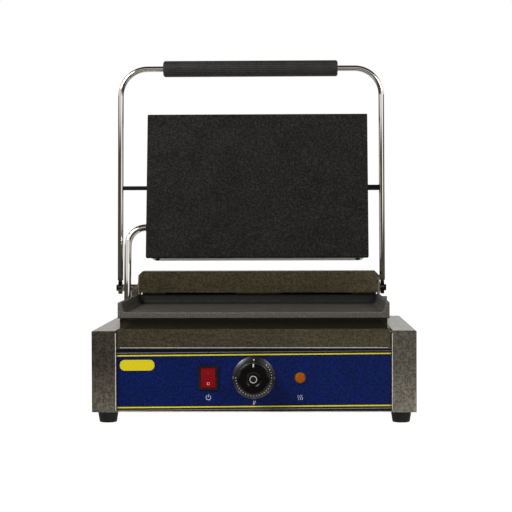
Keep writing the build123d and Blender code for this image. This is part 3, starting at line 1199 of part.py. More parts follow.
# Gland that holds the lower end of the conduit on the left wing
GLAND_PLACE = (CONDUIT_X, at_depth(CONDUIT_FOOT_DEPTH))
with BuildPart() as conduit_gland:
    with BuildSketch(Plane.XY.offset(BODY_TOP)):
        with Locations(GLAND_PLACE):
            RegularPolygon(GLAND_DIAMETER / 2, 6)
    extrude(amount=GLAND_HEIGHT / 2)
    with BuildSketch(Plane.XY.offset(BODY_TOP + GLAND_HEIGHT / 2)):
        with Locations(GLAND_PLACE):
            Circle(GLAND_NECK_DIAMETER / 2)
    extrude(amount=GLAND_HEIGHT / 2)
    with BuildSketch(Plane.XY.offset(BODY_TOP)):
        with Locations(GLAND_PLACE):
            Circle(GLAND_NECK_DIAMETER / 2)
    extrude(amount=-GLAND_HEIGHT / 2)
    with BuildSketch(Plane.XY.offset(BODY_TOP - GLAND_HEIGHT)):
        with Locations(GLAND_PLACE):
            Circle(CONDUIT_DIAMETER / 2 + RUNNING_GAP)
    extrude(amount=3 * GLAND_HEIGHT, mode=Mode.SUBTRACT)
conduit_gland.part.label = "conduit_gland"
export_step(conduit_gland.part, "parts/conduit_gland.step")

# Polished flexible conduit: up from the wing, past the axle, then round into the lid
CONDUIT_TOP = LID_PLANE.from_local_coords((-COVER_HALF_WIDTH + SHEET, -CONDUIT_BELOW_PINS, 0))
CONDUIT_ROUTE = [
    (*GLAND_PLACE, BODY_TOP - GLAND_HEIGHT / 2),
    (*GLAND_PLACE, CONDUIT_KNEE_HEIGHT),
    (CONDUIT_X, CONDUIT_TOP.Y, CONDUIT_TOP.Z),
    (CONDUIT_TOP.X, CONDUIT_TOP.Y, CONDUIT_TOP.Z),
]
with BuildPart() as conduit:
    with BuildLine() as conduit_path:
        FilletPolyline(*CONDUIT_ROUTE, radius=[CONDUIT_KNEE_RADIUS, CONDUIT_BEND_RADIUS])
    with BuildSketch(Plane(origin=conduit_path.line @ 0, z_dir=conduit_path.line % 0)):
        Circle(CONDUIT_DIAMETER / 2)
        Circle(CONDUIT_DIAMETER / 2 - CONDUIT_WALL, mode=Mode.SUBTRACT)
    sweep(path=conduit_path.line)
conduit.part.label = "conduit"
export_step(conduit.part, "parts/conduit.step")

# Rocker switch: the housing with its bezel, and the rocker on two trunnions
BEZEL_FRONT = OVERLAY_FRONT - SWITCH_BEZEL_THICKNESS
ROCKER_AXIS_DEPTH = BEZEL_FRONT + ROCKER_PIVOT
SWITCH_WINDOW = (SWITCH_BODY[0] - 2 * SWITCH_WALL, SWITCH_BODY[1] - 2 * SWITCH_WALL)
ROCKER_WIDTH = SWITCH_WINDOW[0] - 2 * ROCKER_GAP
ROCKER_RADIUS = SWITCH_WINDOW[1] / 2 - ROCKER_GAP
SWITCH_AXIS = Plane(origin=(SWITCH_X, at_depth(ROCKER_AXIS_DEPTH), CONTROL_HEIGHT), z_dir=(1, 0, 0))
with BuildPart() as switch_housing:
    with BuildSketch(front_plane(OVERLAY_FRONT)):
        with Locations((SWITCH_X, CONTROL_HEIGHT)):
            Rectangle(*SWITCH_BEZEL)
    extrude(amount=SWITCH_BEZEL_THICKNESS, taper=12)
    with BuildSketch(front_plane(OVERLAY_FRONT)):
        with Locations((SWITCH_X, CONTROL_HEIGHT)):
            Rectangle(*SWITCH_BODY)
    extrude(amount=-SWITCH_BODY_DEPTH)
    with BuildSketch(front_plane(BEZEL_FRONT)):
        with Locations((SWITCH_X, CONTROL_HEIGHT)):
            Rectangle(*SWITCH_WINDOW)
    extrude(amount=-(ROCKER_PIVOT + ROCKER_DEEP + 4), mode=Mode.SUBTRACT)
    with BuildSketch(SWITCH_AXIS):
        Circle(ROCKER_TRUNNION / 2 + RUNNING_GAP)
    extrude(amount=SWITCH_WINDOW[0] / 2 + SWITCH_WALL * 0.7, both=True, mode=Mode.SUBTRACT)
    with BuildSketch(front_plane(OVERLAY_FRONT + SWITCH_BODY_DEPTH)):
        with Locations((SWITCH_X, CONTROL_HEIGHT)):
            with GridLocations(0, SWITCH_TAG_PITCH, 1, 3):
                Rectangle(SWITCH_TAG[0], SWITCH_TAG[1])
    extrude(amount=-SWITCH_TAG[2])
switch_housing.part.label = "switch_housing"
export_step(switch_housing.part, "parts/switch_housing.step")

# The lower end of the rocker is pressed in. Its ends are round about the trunnions.
with BuildPart() as rocker:
    tilted = Plane(
        origin=SWITCH_AXIS.origin,
        x_dir=(0, cos(radians(ROCKER_TILT)), sin(radians(ROCKER_TILT))),
        z_dir=(1, 0, 0),
    )
    front_half = (ROCKER_RADIUS**2 - (ROCKER_PIVOT + ROCKER_PROUD) ** 2) ** 0.5
    back_half = (ROCKER_RADIUS**2 - ROCKER_DEEP**2) ** 0.5
    front_y = -(ROCKER_PIVOT + ROCKER_PROUD)
    with BuildSketch(tilted):
        with BuildLine():
            ThreePointArc((front_y, front_half), (front_y + ROCKER_DISH, 0), (front_y, -front_half))
            ThreePointArc((front_y, -front_half), (0, -ROCKER_RADIUS), (ROCKER_DEEP, -back_half))
            Line((ROCKER_DEEP, -back_half), (ROCKER_DEEP, back_half))
            ThreePointArc((ROCKER_DEEP, back_half), (0, ROCKER_RADIUS), (front_y, front_half))
        make_face()
    extrude(amount=ROCKER_WIDTH / 2, both=True)
    with BuildSketch(SWITCH_AXIS):
        Circle(ROCKER_TRUNNION / 2)
    extrude(amount=ROCKER_WIDTH / 2 + ROCKER_GAP + SWITCH_WALL * 0.5, both=True)
rocker.part.label = "rocker"
export_step(rocker.part, "parts/rocker.step")

# Thermostat: body behind the panel, fixed scale ring, shaft, knob and cap
with BuildPart() as thermostat_body:
    with BuildSketch(front_plane(PANEL_BACK)):
        with Locations((0, CONTROL_HEIGHT)):
            Rectangle(THERMOSTAT_BODY[0], THERMOSTAT_BODY[1])
    extrude(amount=-THERMOSTAT_BODY[2])
    with BuildSketch(front_plane(PANEL_BACK)):
        with Locations((0, CONTROL_HEIGHT)):
            Circle(THERMOSTAT_NECK_DIAMETER / 2)
    extrude(amount=PANEL_BACK - OVERLAY_FRONT + DIAL_RING_THICKNESS / 2)
    with BuildSketch(front_plane(PANEL_BACK + THERMOSTAT_SHAFT_IN)):
        with Locations((0, CONTROL_HEIGHT)):
            Circle(DIAL_SHAFT_DIAMETER / 2 + RUNNING_GAP)
    extrude(amount=BODY_DEPTH, mode=Mode.SUBTRACT)
    with BuildSketch(front_plane(PANEL_BACK + THERMOSTAT_BODY[2])):
        with Locations((0, CONTROL_HEIGHT - SWITCH_TAG_PITCH)):
            with GridLocations(1.5 * SWITCH_TAG_PITCH, 0, 2, 1):
                Rectangle(SWITCH_TAG[1], SWITCH_TAG[0])
    extrude(amount=-SWITCH_TAG[2])
thermostat_body.part.label = "thermostat_body"
export_step(thermostat_body.part, "parts/thermostat_body.step")

with BuildPart() as thermostat_scale_ring:
    with BuildSketch(front_plane(OVERLAY_FRONT)):
        with Locations((0, CONTROL_HEIGHT)):
            Circle(DIAL_RING_DIAMETER / 2)
            Circle(THERMOSTAT_NECK_DIAMETER / 2 + RUNNING_GAP, mode=Mode.SUBTRACT)
    extrude(amount=DIAL_RING_THICKNESS)
    outer_edge = (
        thermostat_scale_ring.edges().filter_by(GeomType.CIRCLE).group_by(Axis.Y)[0].sort_by(SortBy.RADIUS)
    )
    chamfer(outer_edge[-1], DIAL_RING_BEVEL)
thermostat_scale_ring.part.label = "thermostat_scale_ring"
export_step(thermostat_scale_ring.part, "parts/thermostat_scale_ring.step")

with BuildPart() as thermostat_shaft:
    with BuildSketch(front_plane(PANEL_BACK + THERMOSTAT_SHAFT_IN - 1)):
        with Locations((0, CONTROL_HEIGHT)):
            Circle(DIAL_SHAFT_DIAMETER / 2)
    extrude(amount=PANEL_BACK + THERMOSTAT_SHAFT_IN - 1 - KNOB_BACK + KNOB_SOCKET_DEPTH)
thermostat_shaft.part.label = "thermostat_shaft"
export_step(thermostat_shaft.part, "parts/thermostat_shaft.step")

with BuildPart() as thermostat_knob:
    knob_side = Plane(
        origin=(0, at_depth(KNOB_BACK), CONTROL_HEIGHT), x_dir=(0, 0, 1), z_dir=(1, 0, 0)
    )
    rim = KNOB_DIAMETER / 2 - KNOB_TAPER
    with BuildSketch(knob_side):
        with BuildLine():
            Polyline(
                (0, 0),
                (KNOB_DIAMETER / 2, 0),
                (rim, KNOB_HEIGHT - KNOB_EDGE),
                (rim - KNOB_EDGE, KNOB_HEIGHT),
                (0, KNOB_HEIGHT),
                close=True,
            )
        make_face()
    revolve(axis=Axis(knob_side.origin, (0, 1, 0)))
    with BuildSketch(front_plane(KNOB_BACK)):
        with Locations((0, CONTROL_HEIGHT)):
            Circle(DIAL_SHAFT_DIAMETER / 2 + RUNNING_GAP)
    extrude(amount=KNOB_SOCKET_DEPTH + SEAM, mode=Mode.SUBTRACT)
    # A shallow dish in the face, round the cap
    with BuildSketch(knob_side):
        with BuildLine():
            ThreePointArc(
                (DISH_DIAMETER / 2, KNOB_HEIGHT),
                (DISH_DIAMETER / 2 - DISH_DEPTH, KNOB_HEIGHT - 0.8 * DISH_DEPTH),
                (CAP_DIAMETER / 2, KNOB_HEIGHT - DISH_DEPTH),
            )
            Polyline(
                (CAP_DIAMETER / 2, KNOB_HEIGHT - DISH_DEPTH),
                (0, KNOB_HEIGHT - DISH_DEPTH),
                (0, KNOB_HEIGHT),
                (DISH_DIAMETER / 2, KNOB_HEIGHT),
            )
        make_face()
    revolve(axis=Axis(knob_side.origin, (0, 1, 0)), mode=Mode.SUBTRACT)
    with BuildSketch(front_plane(DISH_FLOOR)):
        with Locations((0, CONTROL_HEIGHT)):
            Circle(CAP_DIAMETER / 2 + RUNNING_GAP)
    extrude(amount=-CAP_SEAT, mode=Mode.SUBTRACT)
thermostat_knob.part.label = "thermostat_knob"
export_step(thermostat_knob.part, "parts/thermostat_knob.step")

with BuildPart() as knob_cap:
    with BuildSketch(front_plane(DISH_FLOOR + CAP_SEAT)):
        with Locations((0, CONTROL_HEIGHT)):
            Circle(CAP_DIAMETER / 2)
    extrude(amount=CAP_SEAT + CAP_PROUD)
    fillet(knob_cap.edges().group_by(Axis.Y)[0], CAP_PROUD / 2)
knob_cap.part.label = "knob_cap"
export_step(knob_cap.part, "parts/knob_cap.step")

# Pilot lamp: bezel ring, domed lens and the lamp body behind the panel
with BuildPart() as lamp_bezel:
    with BuildSketch(front_plane(OVERLAY_FRONT)):
        with Locations((LAMP_X, CONTROL_HEIGHT)):
            Circle(LAMP_BEZEL_DIAMETER / 2)
            Circle(LAMP_LENS_DIAMETER / 2 + RUNNING_GAP, mode=Mode.SUBTRACT)
    extrude(amount=LAMP_RIM)
lamp_bezel.part.label = "lamp_bezel"
export_step(lamp_bezel.part, "parts/lamp_bezel.step")

with BuildPart() as lamp_lens:
    with BuildSketch(front_plane(OVERLAY_FRONT)):
        with Locations((LAMP_X, CONTROL_HEIGHT)):
            Circle(LAMP_LENS_DIAMETER / 2)
    extrude(amount=LAMP_RIM + LAMP_DOME)
    fillet(lamp_lens.faces().sort_by(Axis.Y)[0].edges(), LAMP_DOME)
lamp_lens.part.label = "lamp_lens"
export_step(lamp_lens.part, "parts/lamp_lens.step")

with BuildPart() as lamp_body:
    with BuildSketch(front_plane(OVERLAY_FRONT)):
        with Locations((LAMP_X, CONTROL_HEIGHT)):
            Circle(LAMP_BODY_DIAMETER / 2)
    extrude(amount=-LAMP_BODY_DEPTH)
    with BuildSketch(front_plane(PANEL_BACK)):
        with Locations((LAMP_X, CONTROL_HEIGHT)):
            Circle(LAMP_BODY_DIAMETER / 2 + 2)
    extrude(amount=-3)
lamp_body.part.label = "lamp_body"
export_step(lamp_body.part, "parts/lamp_body.step")

# Terminal block on the pan, under the leads of the lower element
BLOCK_TOP = PAN_TOP + TERMINAL_BLOCK[2]
with BuildPart() as terminal_block:
    with Locations((PLATES_X + LEAD_HOLE_X, at_depth(sum(LEAD_DEPTHS) / 2), PAN_TOP)):
        Box(*TERMINAL_BLOCK, align=(MIDDLE, MIDDLE, LOW))
    chamfer(terminal_block.edges().filter_by(Axis.Y).group_by(Axis.Z)[-1], 3)
terminal_block.part.label = "terminal_block"
export_step(terminal_block.part, "parts/terminal_block.step")

# Leads: from each end of the lower element down to the block, and on to the controls
LEAD_LEVEL = LOWER_UNDERSIDE - ELEMENT_GAP - ELEMENT_DIAMETER / 2
ELEMENT_END_X = PLATES_X - ELEMENT_LENGTH / 2 - TERMINAL_LENGTH
LEAD_X = PLATES_X + LEAD_HOLE_X
BLOCK_FACE = sum(LEAD_DEPTHS) / 2 - TERMINAL_BLOCK[1] / 2
LEAD_ROUTES = [
    [
        (ELEMENT_END_X, PLATE_CENTRE_DEPTH - END_OFFSET, LEAD_LEVEL),
        (LEAD_X, PLATE_CENTRE_DEPTH - END_OFFSET, LEAD_LEVEL),
        (LEAD_X, LEAD_DEPTHS[0], LEAD_LEVEL),
        (LEAD_X, LEAD_DEPTHS[0], BLOCK_TOP),
    ],
    [
        (ELEMENT_END_X, REAR_END_DEPTH, LEAD_LEVEL),
        (LEAD_X, REAR_END_DEPTH, LEAD_LEVEL),
        (LEAD_X, LEAD_DEPTHS[1], BLOCK_TOP),
    ],
    [
        (LEAD_X - LEAD_DIAMETER, BLOCK_FACE, PAN_TOP + BLOCK_CLAMP_LEVELS[0]),
        (LEAD_X - LEAD_DIAMETER, BLOCK_FACE - LEAD_TURNS[0], PAN_TOP + BLOCK_CLAMP_LEVELS[0]),
        (SWITCH_X, BLOCK_FACE - LEAD_TURNS[0], CONTROL_HEIGHT),
        (SWITCH_X, OVERLAY_FRONT + SWITCH_BODY_DEPTH + SWITCH_TAG[2], CONTROL_HEIGHT),
    ],
    [
        (LEAD_X + LEAD_DIAMETER, BLOCK_FACE, PAN_TOP + BLOCK_CLAMP_LEVELS[1]),
        (LEAD_X + LEAD_DIAMETER, BLOCK_FACE - LEAD_TURNS[1], PAN_TOP + BLOCK_CLAMP_LEVELS[1]),
        (LAMP_X, BLOCK_FACE - LEAD_TURNS[1], CONTROL_HEIGHT),
        (LAMP_X, OVERLAY_FRONT + LAMP_BODY_DEPTH, CONTROL_HEIGHT),
    ],
]
with BuildPart() as leads:
    for route in LEAD_ROUTES:
        with BuildLine() as lead_path:
            FilletPolyline(*[(x, at_depth(d), z) for x, d, z in route], radius=LEAD_BEND)
        with BuildSketch(Plane(origin=lead_path.line @ 0, z_dir=lead_path.line % 0)):
            Circle(LEAD_DIAMETER / 2)
        sweep(path=lead_path.line)
leads.part.label = "leads"
export_step(leads.part, "parts/leads.step")

# Sensing bulb of the thermostat under the lower plate, and its thin capillary
BULB_LEVEL = LOWER_UNDERSIDE - ELEMENT_GAP + CLAMP_TOP + BULB_DIAMETER / 2 + RUNNING_GAP
CAPILLARY_ROUTE = [
    (CAPILLARY_X, PANEL_BACK + THERMOSTAT_BODY[2], CONTROL_HEIGHT + CAPILLARY_RISE),
    (CAPILLARY_X, CAPILLARY_DEPTH, CONTROL_HEIGHT + CAPILLARY_RISE),
    (CAPILLARY_X, CAPILLARY_DEPTH, BULB_LEVEL),
    (CAPILLARY_X + BULB_START, CAPILLARY_DEPTH, BULB_LEVEL),
]
with BuildPart() as thermostat_capillary:
    with BuildLine() as capillary_path:
        FilletPolyline(*[(x, at_depth(d), z) for x, d, z in CAPILLARY_ROUTE], radius=LEAD_BEND / 2)
    with BuildSketch(Plane(origin=capillary_path.line @ 0, z_dir=capillary_path.line % 0)):
        Circle(CAPILLARY_DIAMETER / 2)
    sweep(path=capillary_path.line)
    with BuildSketch(Plane(origin=capillary_path.line @ 1, z_dir=(1, 0, 0))):
        Circle(BULB_DIAMETER / 2)
    extrude(amount=BULB_LENGTH)
thermostat_capillary.part.label = "thermostat_capillary"
export_step(thermostat_capillary.part, "parts/thermostat_capillary.step")

# Gland for the mains cord in the rear panel
with BuildPart() as cable_gland:
    with BuildSketch(front_plane(REAR_PANEL_BACK)):
        with Locations((CORD_GLAND_X, CORD_GLAND_HEIGHT)):
            RegularPolygon(CORD_GLAND_DIAMETER / 2, 6)
    extrude(amount=-CORD_GLAND_LENGTH / 2)
    with BuildSketch(front_plane(REAR_PANEL_BACK + CORD_GLAND_LENGTH / 2)):
        with Locations((CORD_GLAND_X, CORD_GLAND_HEIGHT)):
            Circle(CORD_GLAND_DIAMETER * 0.4)
    extrude(amount=-CORD_GLAND_LENGTH / 2)
    with BuildSketch(front_plane(REAR_PANEL_BACK)):
        with Locations((CORD_GLAND_X, CORD_GLAND_HEIGHT)):
            Circle(CORD_GLAND_DIAMETER / 3)
    extrude(amount=CORD_GLAND_LENGTH / 2)
    with BuildSketch(front_plane(REAR_PANEL_FRONT)):
        with Locations((CORD_GLAND_X, CORD_GLAND_HEIGHT)):
            RegularPolygon(CORD_GLAND_DIAMETER / 2, 6)
    extrude(amount=SHEET * 3)
    with BuildSketch(front_plane(BODY_DEPTH + CORD_GLAND_LENGTH)):
        with Locations((CORD_GLAND_X, CORD_GLAND_HEIGHT)):
            Circle(CORD_BORE / 2)
    extrude(amount=3 * CORD_GLAND_LENGTH, mode=Mode.SUBTRACT)
cable_gland.part.label = "cable_gland"
export_step(cable_gland.part, "parts/cable_gland.step")
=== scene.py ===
"""Looks of a countertop contact grill, dressed round its construction model.

The frame is the construction model's: X to the right, Y to the rear and Z up from the table.
Lengths are given in millimetres and turned to metres by MM.
"""

from __future__ import annotations

import json
import logging
import math
from dataclasses import dataclass, field
from enum import Enum
from functools import partial
from typing import Iterable, Sequence

import bmesh
import bpy
from mathutils import Matrix, Vector
from mathutils.bvhtree import BVHTree

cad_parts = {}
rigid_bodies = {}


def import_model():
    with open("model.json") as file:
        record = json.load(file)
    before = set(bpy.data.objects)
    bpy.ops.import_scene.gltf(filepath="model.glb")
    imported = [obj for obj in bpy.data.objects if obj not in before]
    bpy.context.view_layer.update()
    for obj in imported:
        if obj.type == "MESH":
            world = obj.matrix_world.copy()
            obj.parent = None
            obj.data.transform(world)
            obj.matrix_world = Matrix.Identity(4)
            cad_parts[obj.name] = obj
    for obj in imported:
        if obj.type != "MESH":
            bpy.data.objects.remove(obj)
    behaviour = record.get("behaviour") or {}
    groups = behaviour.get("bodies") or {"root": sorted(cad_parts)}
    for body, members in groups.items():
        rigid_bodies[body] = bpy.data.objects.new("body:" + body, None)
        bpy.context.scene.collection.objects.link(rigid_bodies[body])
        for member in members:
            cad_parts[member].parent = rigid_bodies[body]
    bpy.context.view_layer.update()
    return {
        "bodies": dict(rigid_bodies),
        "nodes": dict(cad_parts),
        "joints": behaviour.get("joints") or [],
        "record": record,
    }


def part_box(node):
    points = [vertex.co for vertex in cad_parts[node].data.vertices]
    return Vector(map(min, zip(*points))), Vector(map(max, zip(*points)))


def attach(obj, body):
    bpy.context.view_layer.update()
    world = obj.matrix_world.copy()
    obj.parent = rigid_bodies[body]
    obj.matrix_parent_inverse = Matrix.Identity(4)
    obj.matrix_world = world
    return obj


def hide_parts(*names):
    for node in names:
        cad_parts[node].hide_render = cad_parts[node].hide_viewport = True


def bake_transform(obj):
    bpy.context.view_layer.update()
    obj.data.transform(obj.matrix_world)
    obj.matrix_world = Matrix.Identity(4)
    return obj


Tree = bpy.types.NodeTree
Socket = bpy.types.NodeSocket
Mesh = bmesh.types.BMesh
# A colour: six hex digits, linear values or the socket that gives it
Colour = str | Sequence[float] | Socket
# A point of flat artwork: millimetres to the right and up
Point = tuple[float, float]

LOG = logging.getLogger("contact_grill")
MM = 0.001
# Prints are laid on by rays that start this far in front of the grill, in metres
IN_FRONT = -0.5
IMAGE_PIXELS = 512
SENSOR_MM = 36.0
# Faces that meet at less than this are shaded as one
SMOOTH_ANGLE = math.radians(35)
# The dark brown of the sheets' speckle, and of the painted shade on the wings' fronts and the apron
SPECKLE_AND_SHADE_BROWN = "#2A2822"


class Grain(Enum):
    """The way a sheet's grain runs, as the stretch of its pattern along X, Y and Z."""

    ACROSS = (0.04, 1.0, 1.0)
    UPWARD = (1.0, 1.0, 0.04)
    EVEN = (1.0, 1.0, 1.0)


def linear(hex_colour: str) -> tuple[float, ...]:
    """Turns a hash and the six hex digits of an sRGB colour into linear values and an alpha."""
    parts = [part / 255 for part in bytes.fromhex(hex_colour[1:])]
    return (*[p / 12.92 if p <= 0.04045 else ((p + 0.055) / 1.055) ** 2.4 for p in parts], 1.0)


def add_node(tree: Tree, kind: str, values: dict | None = None) -> bpy.types.Node:
    """Adds one node to a tree.

    Args:
        tree: The tree that takes the node.
        kind: Blender's type name of the node, without ShaderNode.
        values: What its properties and its inputs get, by name or number: a plain value, the
            hex digits of a colour, the output socket that feeds the input, or None to leave it.

    Returns:
        The new node.
    """
    node = tree.nodes.new(f"ShaderNode{kind}")
    for key, value in (values or {}).items():
        if isinstance(value, str) and value.startswith("#"):
            value = linear(value)
        if isinstance(value, Socket):
            tree.links.new(value, node.inputs[key])
        elif isinstance(key, str) and hasattr(node, key):
            setattr(node, key, value)
        elif value is not None:
            node.inputs[key].default_value = value
    return node


def ranged(
    tree: Tree, source: Socket, low: float, high: float, start: float = 0.3, end: float = 0.7
) -> Socket:
    """Goes over from low to high while a value goes from start to end."""
    limits = {"From Min": start, "From Max": end, "To Min": low, "To Max": high, "Value": source}
    return add_node(tree, "MapRange", limits).outputs["Result"]


def mixed(tree: Tree, factor: Socket, first: Colour, second: Colour) -> Socket:
    """Mixes two colours, where factor is the share of the second one."""
    # The node has one set of sockets per data type: 6 and 7 are the colours, and 2 their mix
    inputs = {"data_type": "RGBA", 0: factor, 6: first, 7: second}
    return add_node(tree, "Mix", inputs).outputs[2]


def stepped(
    tree: Tree, source: Socket, start: float, end: float, before: Colour, after: Colour
) -> Socket:
    """Goes over from one colour to another while a value rises from start to end."""
    return mixed(tree, ranged(tree, source, 0.0, 1.0, start, end), before, after)


def spot(tree: Tree) -> Socket:
    """Adds the node that tells where a point is on its object, in metres."""
    return add_node(tree, "TexCoord").outputs["Object"]


def parted(tree: Tree, vector: Socket) -> list[Socket]:
    """Splits a vector into the sockets of its X, Y and Z."""
    parts = add_node(tree, "SeparateXYZ", {"Vector": vector})
    return [parts.outputs[axis] for axis in "XYZ"]


def bumped(tree: Tree, height: Socket, depth_mm: float, under: Socket | None) -> Socket:
    """Turns a pattern into relief of a real depth, on a relief whose normal may be given."""
    inputs = {"Strength": 1.0, "Distance": depth_mm * MM, "Height": height, "Normal": under}
    return add_node(tree, "Bump", inputs).outputs["Normal"]


@dataclass(frozen=True)
class Noise:
    """A noise pattern: its features' width across the grain, the grain and the finer layers."""

    size_mm: float
    grain: Grain = Grain.EVEN
    detail: float = 3.0

    def read(self, tree: Tree) -> Socket:
        """Adds the pattern.

        Args:
            tree: The tree that takes the nodes.

        Returns:
            The socket with the noise's value, about 0.5 on average.
        """
        stretch = [s / (self.size_mm * MM) for s in self.grain.value]
        spread = add_node(tree, "Mapping", {"Scale": stretch, "Vector": spot(tree)}).outputs[0]
        look = {"Scale": 1.0, "Detail": self.detail, "Roughness": 0.6, "Vector": spread}
        return add_node(tree, "TexNoise", look).outputs["Fac"]


@dataclass(frozen=True)
class Facets:
    """A pattern of flat cells of a real width."""

    size_mm: float

    def read(self, tree: Tree) -> Socket:
        """Adds the pattern."""
        cells = {"Scale": 1 / (self.size_mm * MM), "Vector": spot(tree)}
        return add_node(tree, "TexVoronoi", cells).outputs["Distance"]


class Along(Enum):
    """A direction of the frame, in which a point's distance in metres is read as a pattern."""

    Y = 1
    Z = 2

    def read(self, tree: Tree) -> Socket:
        """Adds the pattern."""
        return parted(tree, spot(tree))[self.value]


@dataclass(frozen=True)
class FrontShadeMask:
    """Where a sheet gets painted shade: more and more between two heights, and none on faces that
    look up, which stay lit.
    """

    low_mm: float
    high_mm: float

    def read(self, tree: Tree) -> Socket:
        """Adds the pattern, which is 1 where the painted shade is full.

        Args:
            tree: The tree that takes the nodes.

        Returns:
            The pattern's socket.
        """
        high = ranged(tree, Along.Z.read(tree), 0.0, 1.0, self.low_mm * MM, self.high_mm * MM)
        facing_up = parted(tree, add_node(tree, "NewGeometry").outputs["Normal"])[2]
        left = ranged(tree, facing_up, 1.0, 0.0, 0.5, 0.9)
        return add_node(tree, "Math", {"operation": "MULTIPLY", 0: high, 1: left}).outputs[0]


Pattern = Noise | Facets | Along | FrontShadeMask


@dataclass(frozen=True)
class Stain:
    """A colour whose share goes from least to most while a pattern goes from start to end."""

    colour: str
    pattern: Pattern
    least: float
    most: float
    start: float = 0.3
    end: float = 0.7

    def over(self, tree: Tree, tone: Colour) -> Socket:
        """Lays the stain over a colour."""
        share = ranged(tree, self.pattern.read(tree), self.least, self.most, self.start, self.end)
        return mixed(tree, share, tone, self.colour)


@dataclass(frozen=True)
class Look:
    """What makes a finish more than an even colour.

    Each relief is a pattern and its depth in millimetres, and lies on the one before. The gloss
    is the pattern that the roughness follows, between two shares of its even value.
    """

    stains: Sequence[Stain]
    reliefs: Sequence[tuple[Pattern, float]]
    gloss: tuple[Pattern, float, float] | None = None
    inputs: dict[str, float | str] = field(default_factory=dict)


@dataclass(frozen=True)
class Finish:
    """What every finish has: a name, a main colour, a roughness and perhaps marks laid over the
    colour, most of them painted shade.
    """

    name: str
    colour: str
    roughness: float
    marks: tuple[Stain, ...] = field(default=(), kw_only=True)

    def look(self) -> Look:
        """Gives the rest of the finish. Each kind of finish has its own."""
        raise NotImplementedError

    def material(self) -> bpy.types.Material:
        """Makes the material the first time, and finds it after that.

        Returns:
            The material of this finish.
        """
        found = bpy.data.materials.get(self.name)
        if found is not None:
            return found
        material = bpy.data.materials.new(self.name)
        material.use_nodes = True
        tree = material.node_tree
        tree.nodes.clear()
        look = self.look()
        inputs = {"Base Color": self.colour, "Roughness": self.roughness} | look.inputs
        for stain in (*look.stains, *self.marks):
            inputs["Base Color"] = stain.over(tree, inputs["Base Color"])
        if look.gloss is not None:
            pattern, *shares = look.gloss
            limits = [self.roughness * share for share in shares]
            inputs["Roughness"] = ranged(tree, pattern.read(tree), *limits)
        for pattern, depth_mm in look.reliefs:
            height = pattern.read(tree)
            inputs["Normal"] = bumped(tree, height, depth_mm, inputs.get("Normal"))
        shader = add_node(tree, "BsdfPrincipled", inputs)
        add_node(tree, "OutputMaterial", {"Surface": shader.outputs["BSDF"]})
        return material


@dataclass(frozen=True)
class SheetSteel(Finish):
    """Cold-rolled stainless sheet: a fine directional grain, dull smears and a speckled satin.

    The speckle of satin is finer than a pixel, so it is drawn wide enough to show.
    """

    grain: Grain = Grain.EVEN
    smear: str = "#6E695E"
    speckle: float = 0.35
    metal: float = 1.0
    grain_mm: float = 0.9
    relief_mm: float = 0.012
    smear_mm: float = 55.0
    speckle_mm: float = 3.0

    def look(self) -> Look:
        """Gives the grain, the smears of handling and the speckle.

        Returns:
            The look of the sheet.
        """
        lines, dots = Noise(self.grain_mm, self.grain, 2.0), Noise(self.speckle_mm, detail=2.5)
        smears = Stain(self.smear, Noise(self.smear_mm), 0.0, 0.75)
        speckle = Stain(SPECKLE_AND_SHADE_BROWN, dots, self.speckle, 0.0, 0.40, 0.60)
        reliefs, gloss = [(lines, self.relief_mm)], (lines, 0.8, 1.25)
        return Look([smears, speckle], reliefs, gloss, {"Metallic": self.metal})


@dataclass(frozen=True)
class PlatedSteel(Finish):
    """Polished and plated tube or bar: a mirror with a slight waviness from drawing."""

    wave_mm: float = 14.0
    relief_mm: float = 0.02
    grease: str = "#A8A39B"
    grease_mm: float = 22.0

    def look(self) -> Look:
        """Gives the waviness and a faint film of grease.

        Returns:
            The look of the tube.
        """
        waves = Noise(self.wave_mm, Grain.UPWARD, 1.0)
        grease = Stain(self.grease, Noise(self.grease_mm, Grain.UPWARD), 0.0, 0.3)
        return Look([grease], [(waves, self.relief_mm)], None, {"Metallic": 1.0})


@dataclass(frozen=True)
class SeasonedIron(Finish):
    """Cast iron with a baked-on dark coat: pebbly from the sand mould, oily in patches."""

    pale: str
    pebble_mm: float
    relief_mm: float = 0.09
    grit_mm: float = 3.4
    oily: str = "#2B2723"
    patch_mm: float = 48.0

    def look(self) -> Look:
        """Gives the mould's pebbles and grit, and the oily patches.

        Returns:
            The look of the iron.
        """
        pebbles, grit = Noise(self.pebble_mm, detail=4.0), Noise(self.grit_mm, detail=5.0)
        patches = Noise(self.patch_mm, detail=4.0)
        stains = [
            Stain(self.pale, pebbles, 0.0, 0.8, 0.45, 0.65),
            Stain(self.oily, patches, 0.0, 0.12),
        ]
        reliefs = [(pebbles, self.relief_mm), (grit, self.relief_mm * 1.6)]
        return Look(stains, reliefs, (patches, 0.8, 1.2), {"Specular IOR Level": 0.2})


@dataclass(frozen=True)
class PrintedFilm(Finish):
    """Polycarbonate film printed on its back: even colour under a velvet texture.

    The velvet is about 0.1 mm fine, so it is drawn wide enough to show at all.
    """

    shade: str
    velvet_mm: float = 1.5
    depth: float = 0.45
    ink_mm: float = 30.0
    relief_mm: float = 0.01

    def look(self) -> Look:
        """Gives the velvet and a slight change of the ink's strength.

        Returns:
            The look of the film.
        """
        velvet = Noise(self.velvet_mm, detail=2.0)
        stains = [
            Stain(self.shade, velvet, 0.0, self.depth, 0.42, 0.58),
            Stain(self.shade, Noise(self.ink_mm), 0.0, 0.25),
        ]
        inputs = {"IOR": 1.585, "Specular IOR Level": 0.15}
        return Look(stains, [(velvet, self.relief_mm)], None, inputs)


